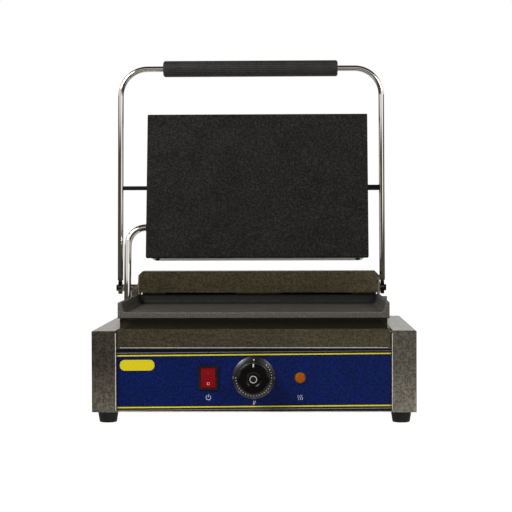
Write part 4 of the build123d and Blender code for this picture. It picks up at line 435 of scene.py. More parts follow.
@dataclass(frozen=True)
class Moulded(Finish):
    """Moulded plastic or rubber: spark-eroded texture, softly uneven in gloss."""

    pale: str
    texture_mm: float = 0.9
    relief_mm: float = 0.02
    shine: float = 0.5
    rubbed_mm: float = 12.0

    def look(self) -> Look:
        """Gives the tool's texture and paler rubbed patches.

        Returns:
            The look of the moulding.
        """
        patches, texture = Noise(self.rubbed_mm, detail=4.0), Noise(self.texture_mm)
        rubbed = Stain(self.pale, patches, 0.0, 0.4, 0.4, 0.75)
        inputs = {"Specular IOR Level": self.shine}
        return Look([rubbed], [(texture, self.relief_mm)], (patches, 0.85, 1.15), inputs)


@dataclass(frozen=True)
class TintedLens(Finish):
    """Tinted clear plastic over a dark or pale back: colour with depth under a gloss, helped by a
    painted glow in its own colour.
    """

    glow: float
    clear: float
    facet_mm: float = 2.4
    relief_mm: float = 0.12

    def look(self) -> Look:
        """Gives the inner facets, the depth, the painted glow and the gloss.

        Returns:
            The look of the lens.
        """
        inputs = {
            "Transmission Weight": self.clear,
            "IOR": 1.49,
            "Specular IOR Level": 0.06,
            # A painted glow in the lens's own colour
            "Emission Color": self.colour,
            "Emission Strength": self.glow,
        }
        return Look([], [(Facets(self.facet_mm), self.relief_mm)], None, inputs)


@dataclass(frozen=True)
class TurnedMetal(Finish):
    """Turned, drawn or plated small metal: fine tool marks on a bright or tinted metal."""

    mark_mm: float = 0.6
    relief_mm: float = 0.008
    tarnish: str = "#3C3833"
    tarnish_mm: float = 7.0

    def look(self) -> Look:
        """Gives tool marks and slight tarnish.

        Returns:
            The look of the metal.
        """
        marks = Noise(self.mark_mm, Grain.ACROSS, 2.0)
        tarnish = Stain(self.tarnish, Noise(self.tarnish_mm), 0.0, 0.5)
        return Look([tarnish], [(marks, self.relief_mm)], (marks, 0.75, 1.3), {"Metallic": 1.0})


@dataclass(frozen=True)
class FibreMat(Finish):
    """Pressed mineral fibre: pale, matt and tangled."""

    dusty: str = "#8F8468"
    fibre_mm: float = 1.2
    relief_mm: float = 0.3

    def look(self) -> Look:
        """Gives the tangle of fibres."""
        fibres = Noise(self.fibre_mm, Grain.ACROSS, 6.0)
        return Look([Stain(self.dusty, fibres, 0.0, 1.0)], [(fibres, self.relief_mm)])


# The finishes that pieces made here have as well
# Painted highlight: a pale, partly matt steel for the beads along the sheets' lit edges
EDGE_HIGHLIGHT_STEEL = SheetSteel(
    "stainless_rubbed_edge", "#E2DDD5", 0.5, smear="#CBC5BC", speckle=0.1, metal=0.3
)
CONDUIT_CHROME = PlatedSteel("chromium_plated_conduit", "#DBD8D2", 0.0)
FILM_BLUE = PrintedFilm("polycarbonate_blue", "#051F6A", 0.34, "#010718", 2.2, 0.8)
FILM_YELLOW = PrintedFilm("ink_yellow", "#E4D63C", 0.36, "#C4B52C")
FILM_OLIVE = PrintedFilm("ink_dark_edge", "#2E2E18", 0.4, "#1C1C12")
FILM_GREY = PrintedFilm("ink_grey", "#8E8C8A", 0.4, "#6A6866")
FILM_WHITE = PrintedFilm("ink_white", "#C9C9DC", 0.4, "#9A9BBC")
LABEL_FILM = PrintedFilm("vinyl_yellow", "#DCCB1F", 0.30, "#C6B518")
DIAL_WHITE = PrintedFilm("pad_print_white", "#D5D5D2", 0.5, "#8F8F8D")
DIAL_GREY = PrintedFilm("pad_print_grey", "#8A898E", 0.5, "#5F5E62")
# The upper mark of the switch is worn and takes on the red of the rocker
ROCKER_MARK = PrintedFilm("pad_print_worn", "#C7434A", 0.5, "#A02830")
# Painted highlight: a pale line round the knob's sharp rim, where it catches the light
KNOB_RIM_HIGHLIGHT = Moulded("phenolic_rubbed_rim", "#565658", 0.35, "#77777A")
RING_ABS = Moulded("abs_scale_ring", "#131215", 0.3, "#1B1A1E", shine=0.6)
FOOT_RUBBER = Moulded("nitrile_rubber_foot", "#131313", 0.75, "#242323", 1.4, 0.05)
SPRING_STEEL = TurnedMetal("oiled_spring_steel", "#4D4C4C", 0.30)

# Marks laid over some finishes, most of them painted shade. The right wing, in brighter light, gets
# less painted shade on its front than the left.
WING_SHADE_MASK = FrontShadeMask(low_mm=12.0, high_mm=75.0)
LEFT_WING_PAINTED_SHADE = Stain(SPECKLE_AND_SHADE_BROWN, WING_SHADE_MASK, 0.0, 0.68, 0.0, 1.0)
RIGHT_WING_PAINTED_SHADE = Stain(SPECKLE_AND_SHADE_BROWN, WING_SHADE_MASK, 0.0, 0.56, 0.0, 1.0)
# Painted shade on the apron and the skirt under the lower plate's lip, darker upward from the
# tray's top
APRON_PAINTED_SHADE = Stain(SPECKLE_AND_SHADE_BROWN, Along.Z, 0.0, 0.92, 116 * MM, 127 * MM)
# Painted shade on the rod's foot, where it is flattened round its screw, in place of the bright
# ground that it would mirror
ROD_FOOT_PAINTED_SHADE = Stain("#1E1C1A", Along.Z, 0.9, 0.0, 168 * MM, 177 * MM)
# The lower plate is paler over its front edge, and painted shade darkens it towards its rear edge,
# under the hinge box and the upper plate
PALER_FRONT_EDGE = Stain("#8E8A83", Along.Y, 0.24, 0.0, -112 * MM, -100 * MM)
REAR_PAINTED_SHADE = Stain("#0A0A0B", Along.Y, 0.0, 0.85, 67 * MM, 112 * MM)

# The finish of each node
NODE_FINISHES: dict[Finish, str] = {
    # Folded stainless sheet of the wings, with the dull satin of a 2B mill finish
    SheetSteel(
        "stainless_2b_wing", "#BFBAAE", 0.34, Grain.UPWARD, "#A9A398", 0.55, marks=(LEFT_WING_PAINTED_SHADE,)
    ): "left_wing",
    # Painted light: the right wing is a paler copy of the left wing's sheet, with less painted
    # shade, for the brighter light on its side
    SheetSteel(
        "stainless_2b_wiped_wing",
        "#CBC6BA",
        0.34,
        Grain.UPWARD,
        "#B5AFA3",
        0.5,
        marks=(RIGHT_WING_PAINTED_SHADE,),
    ): "right_wing",
    # The same sheet, brushed along its length, on the panels behind and below
    SheetSteel(
        "stainless_brushed_panel", "#ABA69B", 0.32, Grain.ACROSS
    ): "front_panel rear_panel body_deck tray_shelf tray_runners",
    # Painted shade: the apron and the skirt under the lower plate's lip are a darker copy of the
    # sheet
    SheetSteel(
        "stainless_baked_apron", "#6E685A", 0.42, Grain.ACROSS, "#696254", marks=(APRON_PAINTED_SHADE,)
    ): "drip_apron plate_skirt",
    # The tray's sheet is brushed across, and darker and browner than the panels
    SheetSteel(
        "stainless_brushed_tray", "#7D7765", 0.34, Grain.ACROSS, "#6E6855", 0.5
    ): "drip_tray",
    SheetSteel("galvanised_pan", "#8E9092", 0.45, smear="#6F7274", grain_mm=3.0): "base_pan",
    # Heat has turned the hinge box a little brown
    SheetSteel(
        "stainless_heat_tinted_box", "#857C66", 0.33, Grain.ACROSS, "#706852", 0.5
    ): "hinge_box",
    # The cover is pale and nearly matt, so its strip below the upper plate shows bright: a painted
    # highlight
    SheetSteel(
        "stainless_satin_cover", "#EEEBE4", 0.45, Grain.ACROSS, "#DAD6CE", 0.1, 0.25
    ): "upper_cover",
    SheetSteel(
        "zinc_plated_bracket", "#CFCBC2", 0.40, Grain.UPWARD, speckle=0.15
    ): "left_hinge_bracket right_hinge_bracket",
    SheetSteel(
        "aluminised_clamp", "#8C8A86", 0.42, Grain.ACROSS
    ): "lower_element_clamp upper_element_clamp",
    # Drawn steel tube, polished and chromium plated: a nearly black and white mirror
    PlatedSteel("chromium_plated_tube", "#D2CEC8", 0.0, marks=(ROD_FOOT_PAINTED_SHADE,)): "handle_rod",
    CONDUIT_CHROME: "conduit",
    PlatedSteel("chromium_plated_bezel", "#B9A88A", 0.12): "lamp_bezel",
    # Sand-cast plates, machined flat, with a black baked-on coat
    SeasonedIron(
        "cast_iron_lower", "#2C2A28", 0.65, "#66625D", 2.2, marks=(PALER_FRONT_EDGE, REAR_PAINTED_SHADE)
    ): "lower_plate",
    SeasonedIron("cast_iron_upper", "#030303", 0.75, "#2E2B2A", 2.6, 0.17): "upper_plate",
    PrintedFilm("polycarbonate_navy", "#12142B", 0.32, "#0B0D20"): "panel_overlay",
    LABEL_FILM: "label_plate",
    Moulded("phenolic_grip", "#232221", 0.5, "#34322F"): "handle_grip",
    Moulded("phenolic_knob", "#050505", 0.24, "#0B0B0B", shine=0.2): "thermostat_knob",
    RING_ABS: "thermostat_scale_ring",
    Moulded("nylon_switch", "#120D12", 0.42, "#1C161C", shine=0.3): "switch_housing lamp_body",
    Moulded("nylon_gland", "#161616", 0.45, "#2A2A2A"): "cable_gland",
    FOOT_RUBBER: "rubber_feet",
    Moulded("silicone_sleeve", "#C9C2B2", 0.5, "#B0A998"): "leads",
    Moulded("steatite_block", "#D9D6CE", 0.35, "#BDB9AF"): "terminal_block",
    # Both lenses get a painted glow in their own colour, which deepens it
    TintedLens("polycarbonate_red", "#860410", 0.35, 0.02, 0.1): "rocker",
    TintedLens("polycarbonate_amber", "#A85204", 0.12, 0.05, 0.15): "lamp_lens",
    TurnedMetal(
        "zinc_plated_screw", "#B4B2AB", 0.32
    ): "rear_screws bracket_fasteners lower_plate_screws foot_screws thermostat_body",
    TurnedMetal("blackened_screw", "#191817", 0.40): "cover_screws",
    TurnedMetal("blued_pin_and_screw", "#26262A", 0.35): "arm_screws swivel_pins",
    TurnedMetal("ground_shaft", "#CCC8C0", 0.30): "hinge_shaft",
    SPRING_STEEL: "hinge_springs spring_collars",
    TurnedMetal("sintered_bronze", "#8C6A42", 0.42): "hinge_bushes swivel_bushes",
    TurnedMetal("drawn_brass", "#A8834F", 0.30): "thermostat_capillary thermostat_shaft",
    TurnedMetal("heat_tinted_tube", "#4A4440", 0.45): "lower_element upper_element",
    TurnedMetal("nickel_plated_gland", "#A7A193", 0.25): "conduit_gland lid_conduit_fitting",
    TurnedMetal("spun_aluminium_cap", "#3B3B3D", 0.30): "knob_cap",
    FibreMat("mineral_fibre", "#D8D0BC", 0.95): "lower_insulation upper_insulation",
}


def placed(name: str, data: bpy.types.ID) -> bpy.types.Object:
    """Puts an object with this data into the scene.

    Args:
        name: The object's name.
        data: Its mesh, curve, camera or light.

    Returns:
        The new object.
    """
    thing = bpy.data.objects.new(name, data)
    bpy.context.scene.collection.objects.link(thing)
    return thing


def set_finish(thing: bpy.types.Object, finish: Finish) -> None:
    """Gives an object one finish in place of any that it has."""
    thing.data.materials.clear()
    thing.data.materials.append(finish.material())


def piece(
    name: str, mesh: Mesh, finish: Finish, body: str | None, smooth: bool = True
) -> bpy.types.Object:
    """Turns a mesh in the making into a piece that rides on a body.

    Args:
        name: The piece's name.
        mesh: The mesh in the making, in metres in the shared frame. It is freed.
        finish: The finish that it gets.
        body: The body that carries it, or None to leave it on no body.
        smooth: Whether faces that meet at a small angle are shaded as one.

    Returns:
        The new object.
    """
    bmesh.ops.recalc_face_normals(mesh, faces=mesh.faces)
    data = bpy.data.meshes.new(name)
    mesh.to_mesh(data)
    mesh.free()
    if smooth:
        data.shade_smooth()
        data.set_sharp_from_angle(angle=SMOOTH_ANGLE)
    thing = placed(name, data)
    set_finish(thing, finish)
    if body is not None:
        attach(thing, body)
    LOG.info("piece %s on %s: %d faces", name, body or "a joint", len(data.polygons))
    return thing


def middle_of(node: str) -> Point:
    """Gives a node's middle across and up, in millimetres."""
    low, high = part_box(node)
    return ((low.x + high.x) / 2 / MM, (low.z + high.z) / 2 / MM)


def on_circle(radius: float, turn: float, centre: Point = (0.0, 0.0)) -> Point:
    """Gives a point on a circle, for an angle in radians counter-clockwise from the right."""
    return (centre[0] + radius * math.cos(turn), centre[1] + radius * math.sin(turn))


@dataclass
class PrintLayer:
    """Flat artwork laid on a node or a piece, as seen from the front.

    Outlines are given in millimetres across and up from a centre, and each point is dropped
    onto the node from the front, so that the ink follows a dished or bevelled face.
    """

    node: str
    centre_x: float
    centre_height: float
    ink_mm: float = 0.05
    turn: float = 0.0
    mesh: Mesh = field(default_factory=bmesh.new)

    def __post_init__(self) -> None:
        """Makes one search tree of the node's surface for all points."""
        data = bpy.data.objects[self.node].data
        self.surface = BVHTree.FromPolygons(
            [v.co.copy() for v in data.vertices], [tuple(p.vertices) for p in data.polygons]
        )

    def drop(self, across: float, up: float) -> Vector:
        """Finds where a point of the artwork lands on the node.

        Args:
            across: Millimetres to the right of the centre.
            up: Millimetres above it.

        Returns:
            The top of the ink there, in metres.

        Raises:
            ValueError: If the point is beside the node.
        """
        turned = Vector((across, up)).to_2d()
        turned.rotate(Matrix.Rotation(math.radians(self.turn), 2))
        x = (self.centre_x + turned.x) * MM
        z = (self.centre_height + turned.y) * MM
        hit, normal, _, _ = self.surface.ray_cast(Vector((x, IN_FRONT, z)), Vector((0, 1, 0)))
        if hit is None:
            raise ValueError(f"the print on {self.node} misses it at {across:.1f}, {up:.1f} mm")
        return hit + normal.normalized() * (self.ink_mm * MM)

    def patch(self, outline: Sequence[Point]) -> None:
        """Adds a filled patch with its edge turned down to the surface.

        Args:
            outline: The points round the patch.
        """
        top = [self.mesh.verts.new(self.drop(*point)) for point in outline]
        self.mesh.faces.new(top)
        down = Vector((0, self.ink_mm * MM, 0))
        foot = [self.mesh.verts.new(v.co + down) for v in top]
        for i in range(len(top)):
            j = (i + 1) % len(top)
            self.mesh.faces.new((top[i], top[j], foot[j], foot[i]))

    def bar(self, x0: float, x1: float, z0: float, z1: float) -> None:
        """Adds a filled rectangle."""
        self.patch([(x0, z0), (x1, z0), (x1, z1), (x0, z1)])

    def disc(self, centre: Point, radius: float, sides: int = 16) -> None:
        """Adds a filled dot."""
        turns = [2 * math.pi * i / sides for i in range(sides)]
        self.patch([on_circle(radius, turn, centre) for turn in turns])

    def stroke(self, points: Sequence[Point], width: float) -> None:
        """Adds a line as one patch per run. Each patch laps a little over the next.

        Args:
            points: The points that the line goes through.
            width: The line's width.
        """
        for (x0, z0), (x1, z1) in zip(points, points[1:]):
            length = math.hypot(x1 - x0, z1 - z0)
            side = Vector((-(z1 - z0), x1 - x0)) * (width / 2 / length)
            over = Vector((x1 - x0, z1 - z0)) * (width * 0.2 / length)
            a, b = Vector((x0, z0)) - over, Vector((x1, z1)) + over
            self.patch([tuple(corner) for corner in (a + side, a - side, b - side, b + side)])

    def arc(self, centre: Point, radius: float, span: Point, width: float, steps: int = 24) -> None:
        """Adds part of a ring.

        Args:
            centre: The ring's centre.
            radius: The radius of its middle line.
            span: The angles of its ends, in degrees counter-clockwise from the right.
            width: The line's width.
            steps: How many patches the part has.
        """
        turns = [math.radians(span[0] + (span[1] - span[0]) * i / steps) for i in range(steps + 1)]
        reaches = (radius + width / 2, radius - width / 2)
        outer, inner = ([on_circle(reach, turn, centre) for turn in turns] for reach in reaches)
        for i in range(steps):
            self.patch([outer[i], outer[i + 1], inner[i + 1], inner[i]])

    def words(self, text: str, size_mm: float, centre: Point, lean: float) -> None:
        """Adds plain figures.

        Args:
            text: The figures.
            size_mm: Their size.
            centre: The point in their middle.
            lean: The angle that they are turned by, in degrees.
        """
        curve = bpy.data.curves.new("figures", "FONT")
        curve.body, curve.size = text, size_mm
        curve.align_x, curve.align_y = "CENTER", "CENTER"
        holder = placed("figures", curve)
        bpy.context.view_layer.update()
        shape = bpy.data.meshes.new_from_object(holder)
        bpy.data.objects.remove(holder)
        bpy.data.curves.remove(curve)
        spin = Matrix.Rotation(math.radians(lean), 2)
        for polygon in shape.polygons:
            corners = []
            for index in polygon.vertices:
                flat = shape.vertices[index].co.to_2d()
                flat.rotate(spin)
                place = self.drop(centre[0] + flat.x, centre[1] + flat.y)
                corners.append(self.mesh.verts.new(place))
            self.mesh.faces.new(corners)
        bpy.data.meshes.remove(shape)

    def finish(self, name: str, finish: Finish, body: str, slot: str) -> bpy.types.Object:
        """Turns the artwork into a piece."""
        return piece(name, self.mesh, finish, body, smooth=False)


def skin(mesh: Mesh, rings: Sequence[Sequence[bmesh.types.BMVert]], sides: int) -> None:
    """Joins each ring of points to the next with faces.

    Args:
        mesh: The mesh in the making.
        rings: The rings. One that has a single point closes the skin there.
        sides: How many points every other ring has.
    """
    for low, high in zip(rings, rings[1:]):
        for i in range(sides):
            j = (i + 1) % sides
            foot = [low[k % len(low)] for k in (i, j)]
            head = [high[k % len(high)] for k in (j, i)]
            mesh.faces.new(tuple(dict.fromkeys(foot + head)))


def lathe(profile: Sequence[Point], centre: Vector, direction: Vector, sides: int) -> Mesh:
    """Turns a profile about an axis.

    Args:
        profile: Radius and distance along the axis for each ring, in millimetres.
        centre: The axis's foot, in metres.
        direction: The way the axis points.
        sides: How many steps one turn has.

    Returns:
        The mesh in the making, closed where the profile starts or ends on the axis.
    """
    mesh = bmesh.new()
    frame = direction.to_track_quat("Z", "Y").to_matrix()
    rings = []
    for radius, along in profile:
        turns = [2 * math.pi * i / sides for i in range(sides)] if radius else [0.0]
        spots = [on_circle(radius * MM, turn) for turn in turns]
        places = [centre + frame @ Vector((x, y, along * MM)) for x, y in spots]
        rings.append([mesh.verts.new(place) for place in places])
    skin(mesh, rings, sides)
    return mesh


def tube(path: Sequence[Vector], radius_mm: float, sides: int) -> Mesh:
    """Sweeps a round section along points, with capped ends.

    Args:
        path: The points of the centre line, in metres.
        radius_mm: The tube's radius in millimetres.
        sides: How many steps one turn has.

    Returns:
        The mesh in the making.
    """
    mesh = bmesh.new()
    rings = []
    side = (path[1] - path[0]).normalized().orthogonal().normalized()
    for i, point in enumerate(path):
        ahead = (path[min(i + 1, len(path) - 1)] - path[max(i - 1, 0)]).normalized()
        side = (side - ahead * side.dot(ahead)).normalized()
        other = ahead.cross(side)
        spots = [on_circle(radius_mm * MM, 2 * math.pi * k / sides) for k in range(sides)]
        rings.append([mesh.verts.new(point + side * x + other * y) for x, y in spots])
    skin(mesh, rings, sides)
    mesh.faces.new(list(reversed(rings[0])))
    mesh.faces.new(rings[-1])
    return mesh


def merge(target: Mesh, source: Mesh) -> None:
    """Adds a mesh in the making to another.

    Args:
        target: The mesh that grows.
        source: The mesh that is added and freed.
    """
    data = bpy.data.meshes.new("merged")
    source.to_mesh(data)
    source.free()
    target.from_mesh(data)
    bpy.data.meshes.remove(data)


@dataclass
class Body:
    """The casing: the printed film, the label, the marks, the painted highlights along the sheets'
    edges and the feet.
    """

    print_tilt: float = 0.48
    print_inset: float = 0.4
    field_bottom: float = 22.9
    field_top: float = 86.9
    line_width: float = 1.6
    edge_width: float = 1.1
    grey_width: float = 0.8
    grey_gap: float = 3.8
    pictogram_height: float = 33.5
    dial_pictogram_height: float = 27.2
    sign_ink: float = 0.11
    label_tilt: float = 0.3
    label_roundness: float = 0.92
    label_width: float = 0.975
    label_height: float = 0.88
    label_shift: Point = (-0.5, -0.4)
    label_thickness: float = 0.4
    foot_radius: float = 11.2
    foot_top_radius: float = 13.4
    edge_radius: float = 0.55
    hem_radius: float = 0.44
    hem_rise: float = 1.1

    def build(self) -> None:
        """Builds every print on the front panel, the painted highlights along the sheets' edges and
        the feet.
        """
        self.stripes()
        self.label()
        self.pictograms()
        self.edges()
        self.feet()

    def film_layer(self) -> PrintLayer:
        """Starts a print on the film, which was stuck on a little askew."""
        middle = (self.field_bottom + self.field_top) / 2
        return PrintLayer("panel_overlay", 0.0, middle, turn=self.print_tilt)

    def stripes(self) -> None:
        """Lays the blue field and the lines along its two edges."""
        low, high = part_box("panel_overlay")
        left, right = low.x / MM + self.print_inset, high.x / MM - self.print_inset
        half = (self.field_top - self.field_bottom) / 2
        blue, yellow, edge, grey = (self.film_layer() for _ in range(4))
        blue.bar(left, right, -half, half)
        # Each line's layer, its distance from the field and its width
        lines = (
            (yellow, 0.0, self.line_width),
            (edge, -self.edge_width, self.edge_width),
            (edge, self.line_width, self.edge_width),
            (grey, self.grey_gap, self.grey_width),
        )
        for side in (-1, 1):
            for layer, gap, width in lines:
                levels = sorted((side * (half + gap), side * (half + gap + width)))
                layer.bar(left, right, *levels)
        blue.finish("film_blue_field", FILM_BLUE, "base", "overlay_film")
        yellow.finish("film_yellow_lines", FILM_YELLOW, "base", "label_film")
        edge.finish("film_line_edges", FILM_OLIVE, "base", "overlay_film")
        grey.finish("film_grey_lines", FILM_GREY, "base", "overlay_film")

    def label(self) -> None:
        """Lays the bare label, round at its ends, in place of the plain plate."""
        low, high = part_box("label_plate")
        x, height = middle_of("label_plate")
        plate = PrintLayer(
            "panel_overlay",
            x + self.label_shift[0],
            height + self.label_shift[1],
            self.label_thickness,
            self.label_tilt,
        )
        half_width = (high.x - low.x) / 2 / MM * self.label_width
        half_height = (high.z - low.z) / 2 / MM * self.label_height
        plate.patch(self.rounded(half_width, half_height, half_height * self.label_roundness))
        face = plate.finish("bare_label", LABEL_FILM, "base", "label_film")
        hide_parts("label_plate")

    @staticmethod
    def rounded(half_width: float, half_height: float, radius: float) -> list[Point]:
        """Gives the outline of a rectangle with round corners.

        Args:
            half_width: Half its width in millimetres.
            half_height: Half its height.
            radius: The corners' radius.

        Returns:
            The outline's points, counter-clockwise.
        """
        points, steps = [], 8
        for corner, (x, z) in enumerate(((1, 1), (-1, 1), (-1, -1), (1, -1))):
            centre = (x * (half_width - radius), z * (half_height - radius))
            turns = [math.radians(90 * (corner + step / steps)) for step in range(steps + 1)]
            points += [on_circle(radius, turn, centre) for turn in turns]
        return points

    def pictograms(self) -> None:
        """Lays a plain sign under each control: power, temperature and heat."""
        signs = PrintLayer("panel_overlay", 0.0, 0.0, self.sign_ink)
        height = self.pictogram_height
        # Power: a ring that is open at the top, with a bar in the gap
        x, _ = middle_of("switch_housing")
        signs.arc((x, height), 3.0, (120, 420), 0.75)
        signs.stroke([(x, height + 0.4), (x, height + 4.2)], 0.75)
        # Heat: three rising waves
        x, _ = middle_of("lamp_lens")
        for left in (x - 2.4, x, x + 2.4):
            bends = [0.7 * math.sin(i * math.pi / 4) for i in range(9)]
            wave = [(left + bend, height - 3.0 + i * 0.75) for i, bend in enumerate(bends)]
            signs.stroke(wave, 0.65)
        # Temperature: a thermometer with three ticks
        height = self.dial_pictogram_height
        signs.disc((0.0, height - 1.5), 1.15)
        signs.stroke([(0.0, height - 1.0), (0.0, height + 1.9)], 0.9)
        for level in (height + 0.1, height + 0.9, height + 1.7):
            signs.stroke([(1.3, level), (2.5, level)], 0.45)
        signs.finish("film_signs", FILM_WHITE, "base", "overlay_film")

    def edges(self) -> None:
        """Runs a bead with a painted highlight along each edge of the sheets that catches the
        light.
        """
        thin, reach, rise = (s * MM for s in (self.edge_radius, self.hem_radius, self.hem_rise))
        low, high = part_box("drip_tray")
        ends = (low.x + 2.5 * MM, high.x - 2.5 * MM)
        hem = [Vector((x, low.y + reach * 0.6, low.z + rise)) for x in ends]
        rolled = tube(hem, self.hem_radius, 16)
        piece("tray_bottom_hem_highlight", rolled, EDGE_HIGHLIGHT_STEEL, "drip_tray")
        ends = (low.x + 1.5 * MM, high.x - 1.5 * MM)
        rim = [Vector((x, low.y + thin, high.z - thin)) for x in ends]
        self.bead("tray_top_edge_highlight", rim, "drip_tray")
        low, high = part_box("front_panel")
        foot = [Vector((x, low.y + thin * 0.3, low.z + thin)) for x in (low.x, high.x)]
        self.bead("panel_bottom_edge_highlight", foot, "base")
        for wing, inner, inward in (("left_wing", 1, -1), ("right_wing", 0, 1)):
            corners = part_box(wing)
            x = corners[inner].x + inward * thin
            ends = (corners[0].z + 2 * MM, corners[1].z - 3 * MM)
            upright = [Vector((x, corners[0].y + thin * 0.6, z)) for z in ends]
            self.bead(f"{wing}_inner_edge_highlight", upright, "base")

    def bead(self, name: str, line: Sequence[Vector], body: str) -> None:
        """Runs one bead with the painted highlight along a line."""
        piece(name, tube(line, self.edge_radius, 12), EDGE_HIGHLIGHT_STEEL, body)

    def feet(self) -> None:
        """Moulds the four rubber feet, a little fuller at the foot than the plain cones."""
        low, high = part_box("rubber_feet")
        top = (high.z - low.z) / MM
        reach = self.foot_top_radius
        profile = [
            (0.0, 6.0),
            (5.0, 6.0),
            (5.0, 0.3),
            (5.4, 0.0),
            (self.foot_radius - 1.2, 0.0),
            (self.foot_radius - 0.3, 0.5),
            (self.foot_radius, 1.6),
            (reach - 0.4, top - 2.2),
            (reach, top - 1.8),
            (reach, top),
            (0.0, top),
        ]
        feet = bmesh.new()
        for x in (low.x + reach * MM, high.x - reach * MM):
            for y in (low.y + reach * MM, high.y - reach * MM):
                merge(feet, lathe(profile, Vector((x, y, low.z)), Vector((0, 0, 1)), 40))
        moulded = piece("moulded_feet", feet, FOOT_RUBBER, "base")
        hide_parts("rubber_feet")


@dataclass
class Thermostat:
    """The dial: the sloped ring, its dots and figures, and the pointer on the knob.

    Angles are in degrees clockwise from the top.
    """

    slope_start: float = 19.2
    slope_end: float = 26.5
    rim_height: float = 1.1
    ring_bore: float = 12.0
    ink: float = 0.06
    dot_radius: float = 22.7
    dot_size: float = 0.62
    top_dot_size: float = 0.93
    dot_step: float = 9.0
    first_angle: float = 45.0
    last_angle: float = 270.0
    figures: tuple[str, ...] = ("50", "100", "150", "200", "250", "300")
    figure_radius: float = 25.7
    figure_size: float = 2.7
    pointer_inner: float = 15.6
    pointer_bend: float = 17.6
    pointer_outer: float = 19.4
    pointer_width: float = 1.6
    rim_radius: float = 19.75
    rim_width: float = 0.4
    cap_ring_radius: float = 4.2
    cap_ring_width: float = 0.8

    def build(self) -> None:
        """Builds the sloped ring, the dial's prints and the painted highlight round the knob's rim.
        """
        x, height = middle_of("thermostat_scale_ring")
        ring = self.ring().name
        layer = partial(PrintLayer, centre_x=x, centre_height=height, ink_mm=self.ink)
        dots, figures = layer(ring), layer(ring)
        count = round((self.last_angle - self.first_angle) / self.dot_step)
        for i in range(count + 1):
            angle = math.radians(90 - self.first_angle - i * self.dot_step)
            dots.disc(on_circle(self.dot_radius, angle), self.dot_size, 10)
        dots.disc((0.0, self.dot_radius), self.top_dot_size, 12)
        dots.finish("dial_dots", DIAL_WHITE, "base", "knob_plastic")
        spread = (self.last_angle - self.first_angle) / (len(self.figures) - 1)
        for i, text in enumerate(self.figures):
            angle = self.first_angle + i * spread
            place = on_circle(self.figure_radius, math.radians(90 - angle))
            figures.words(text, self.figure_size, place, -angle)
        figures.finish("dial_figures", DIAL_GREY, "base", "knob_plastic")
        pointer, rim = layer("thermostat_knob"), layer("thermostat_knob")
        half = self.pointer_width / 2
        pointer.bar(-half, half, self.pointer_inner, self.pointer_bend)
        pointer.bar(-half, half, self.pointer_bend + 0.1, self.pointer_outer)
        pointer.finish("knob_pointer", DIAL_WHITE, "thermostat_knob", "knob_plastic")
        # Painted highlight: a pale line round the knob's rim
        rim.arc((0.0, 0.0), self.rim_radius, (0, 360), self.rim_width, 64)
        rim.finish("knob_rim_painted_highlight", KNOB_RIM_HIGHLIGHT, "thermostat_knob", "knob_plastic")
        cap = layer("knob_cap")
        cap.arc((0.0, 0.0), self.cap_ring_radius, (0, 360), self.cap_ring_width, 40)
        cap.finish("knob_cap_ring", DIAL_WHITE, "thermostat_knob", "cap_metal")

    def ring(self) -> bpy.types.Object:
        """Turns the scale ring, which falls away from the knob as a flat cone.

        Returns:
            The ring, in place of the plain one.
        """
        low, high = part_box("thermostat_scale_ring")
        middle = (low + high) / 2
        reach = (high.x - low.x) / 2 / MM
        front = (high.y - low.y) / MM
        profile = [
            (self.ring_bore, 0.0),
            (self.ring_bore, front),
            (self.slope_start, front),
            (self.slope_end, self.rim_height),
            (reach - 0.15, self.rim_height - 0.2),
            (reach, self.rim_height - 0.5),
            (reach, 0.0),
            (self.ring_bore, 0.0),
        ]
        foot = Vector((middle.x, high.y, middle.z))
        turned = lathe(profile, foot, Vector((0, -1, 0)), 120)
        bmesh.ops.remove_doubles(turned, verts=turned.verts, dist=0.01 * MM)
        cone = piece("sloped_scale_ring", turned, RING_ABS, "base")
        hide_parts("thermostat_scale_ring")
        return cone


@dataclass
class Switch:
    """The usual two marks on the rocker."""

    off_reach: float = 7.4
    ring_radius: float = 1.5
    on_reach: float = 6.2
    bar_height: float = 3.0
    line: float = 0.45

    def build(self) -> None:
        """Builds the marks. They follow the rocker's dished face."""
        x, _ = middle_of("rocker")
        _, height = middle_of("switch_housing")
        off, on = (PrintLayer("rocker", x, height) for _ in range(2))
        off.arc((0.0, -self.off_reach), self.ring_radius, (0, 360), self.line)
        off.finish("rocker_off_mark", DIAL_WHITE, "rocker", "rocker_plastic")
        half, reach = self.bar_height / 2, self.on_reach
        on.bar(-self.line / 2, self.line / 2, reach - half, reach + half)
        on.finish("rocker_on_mark", ROCKER_MARK, "rocker", "rocker_plastic")


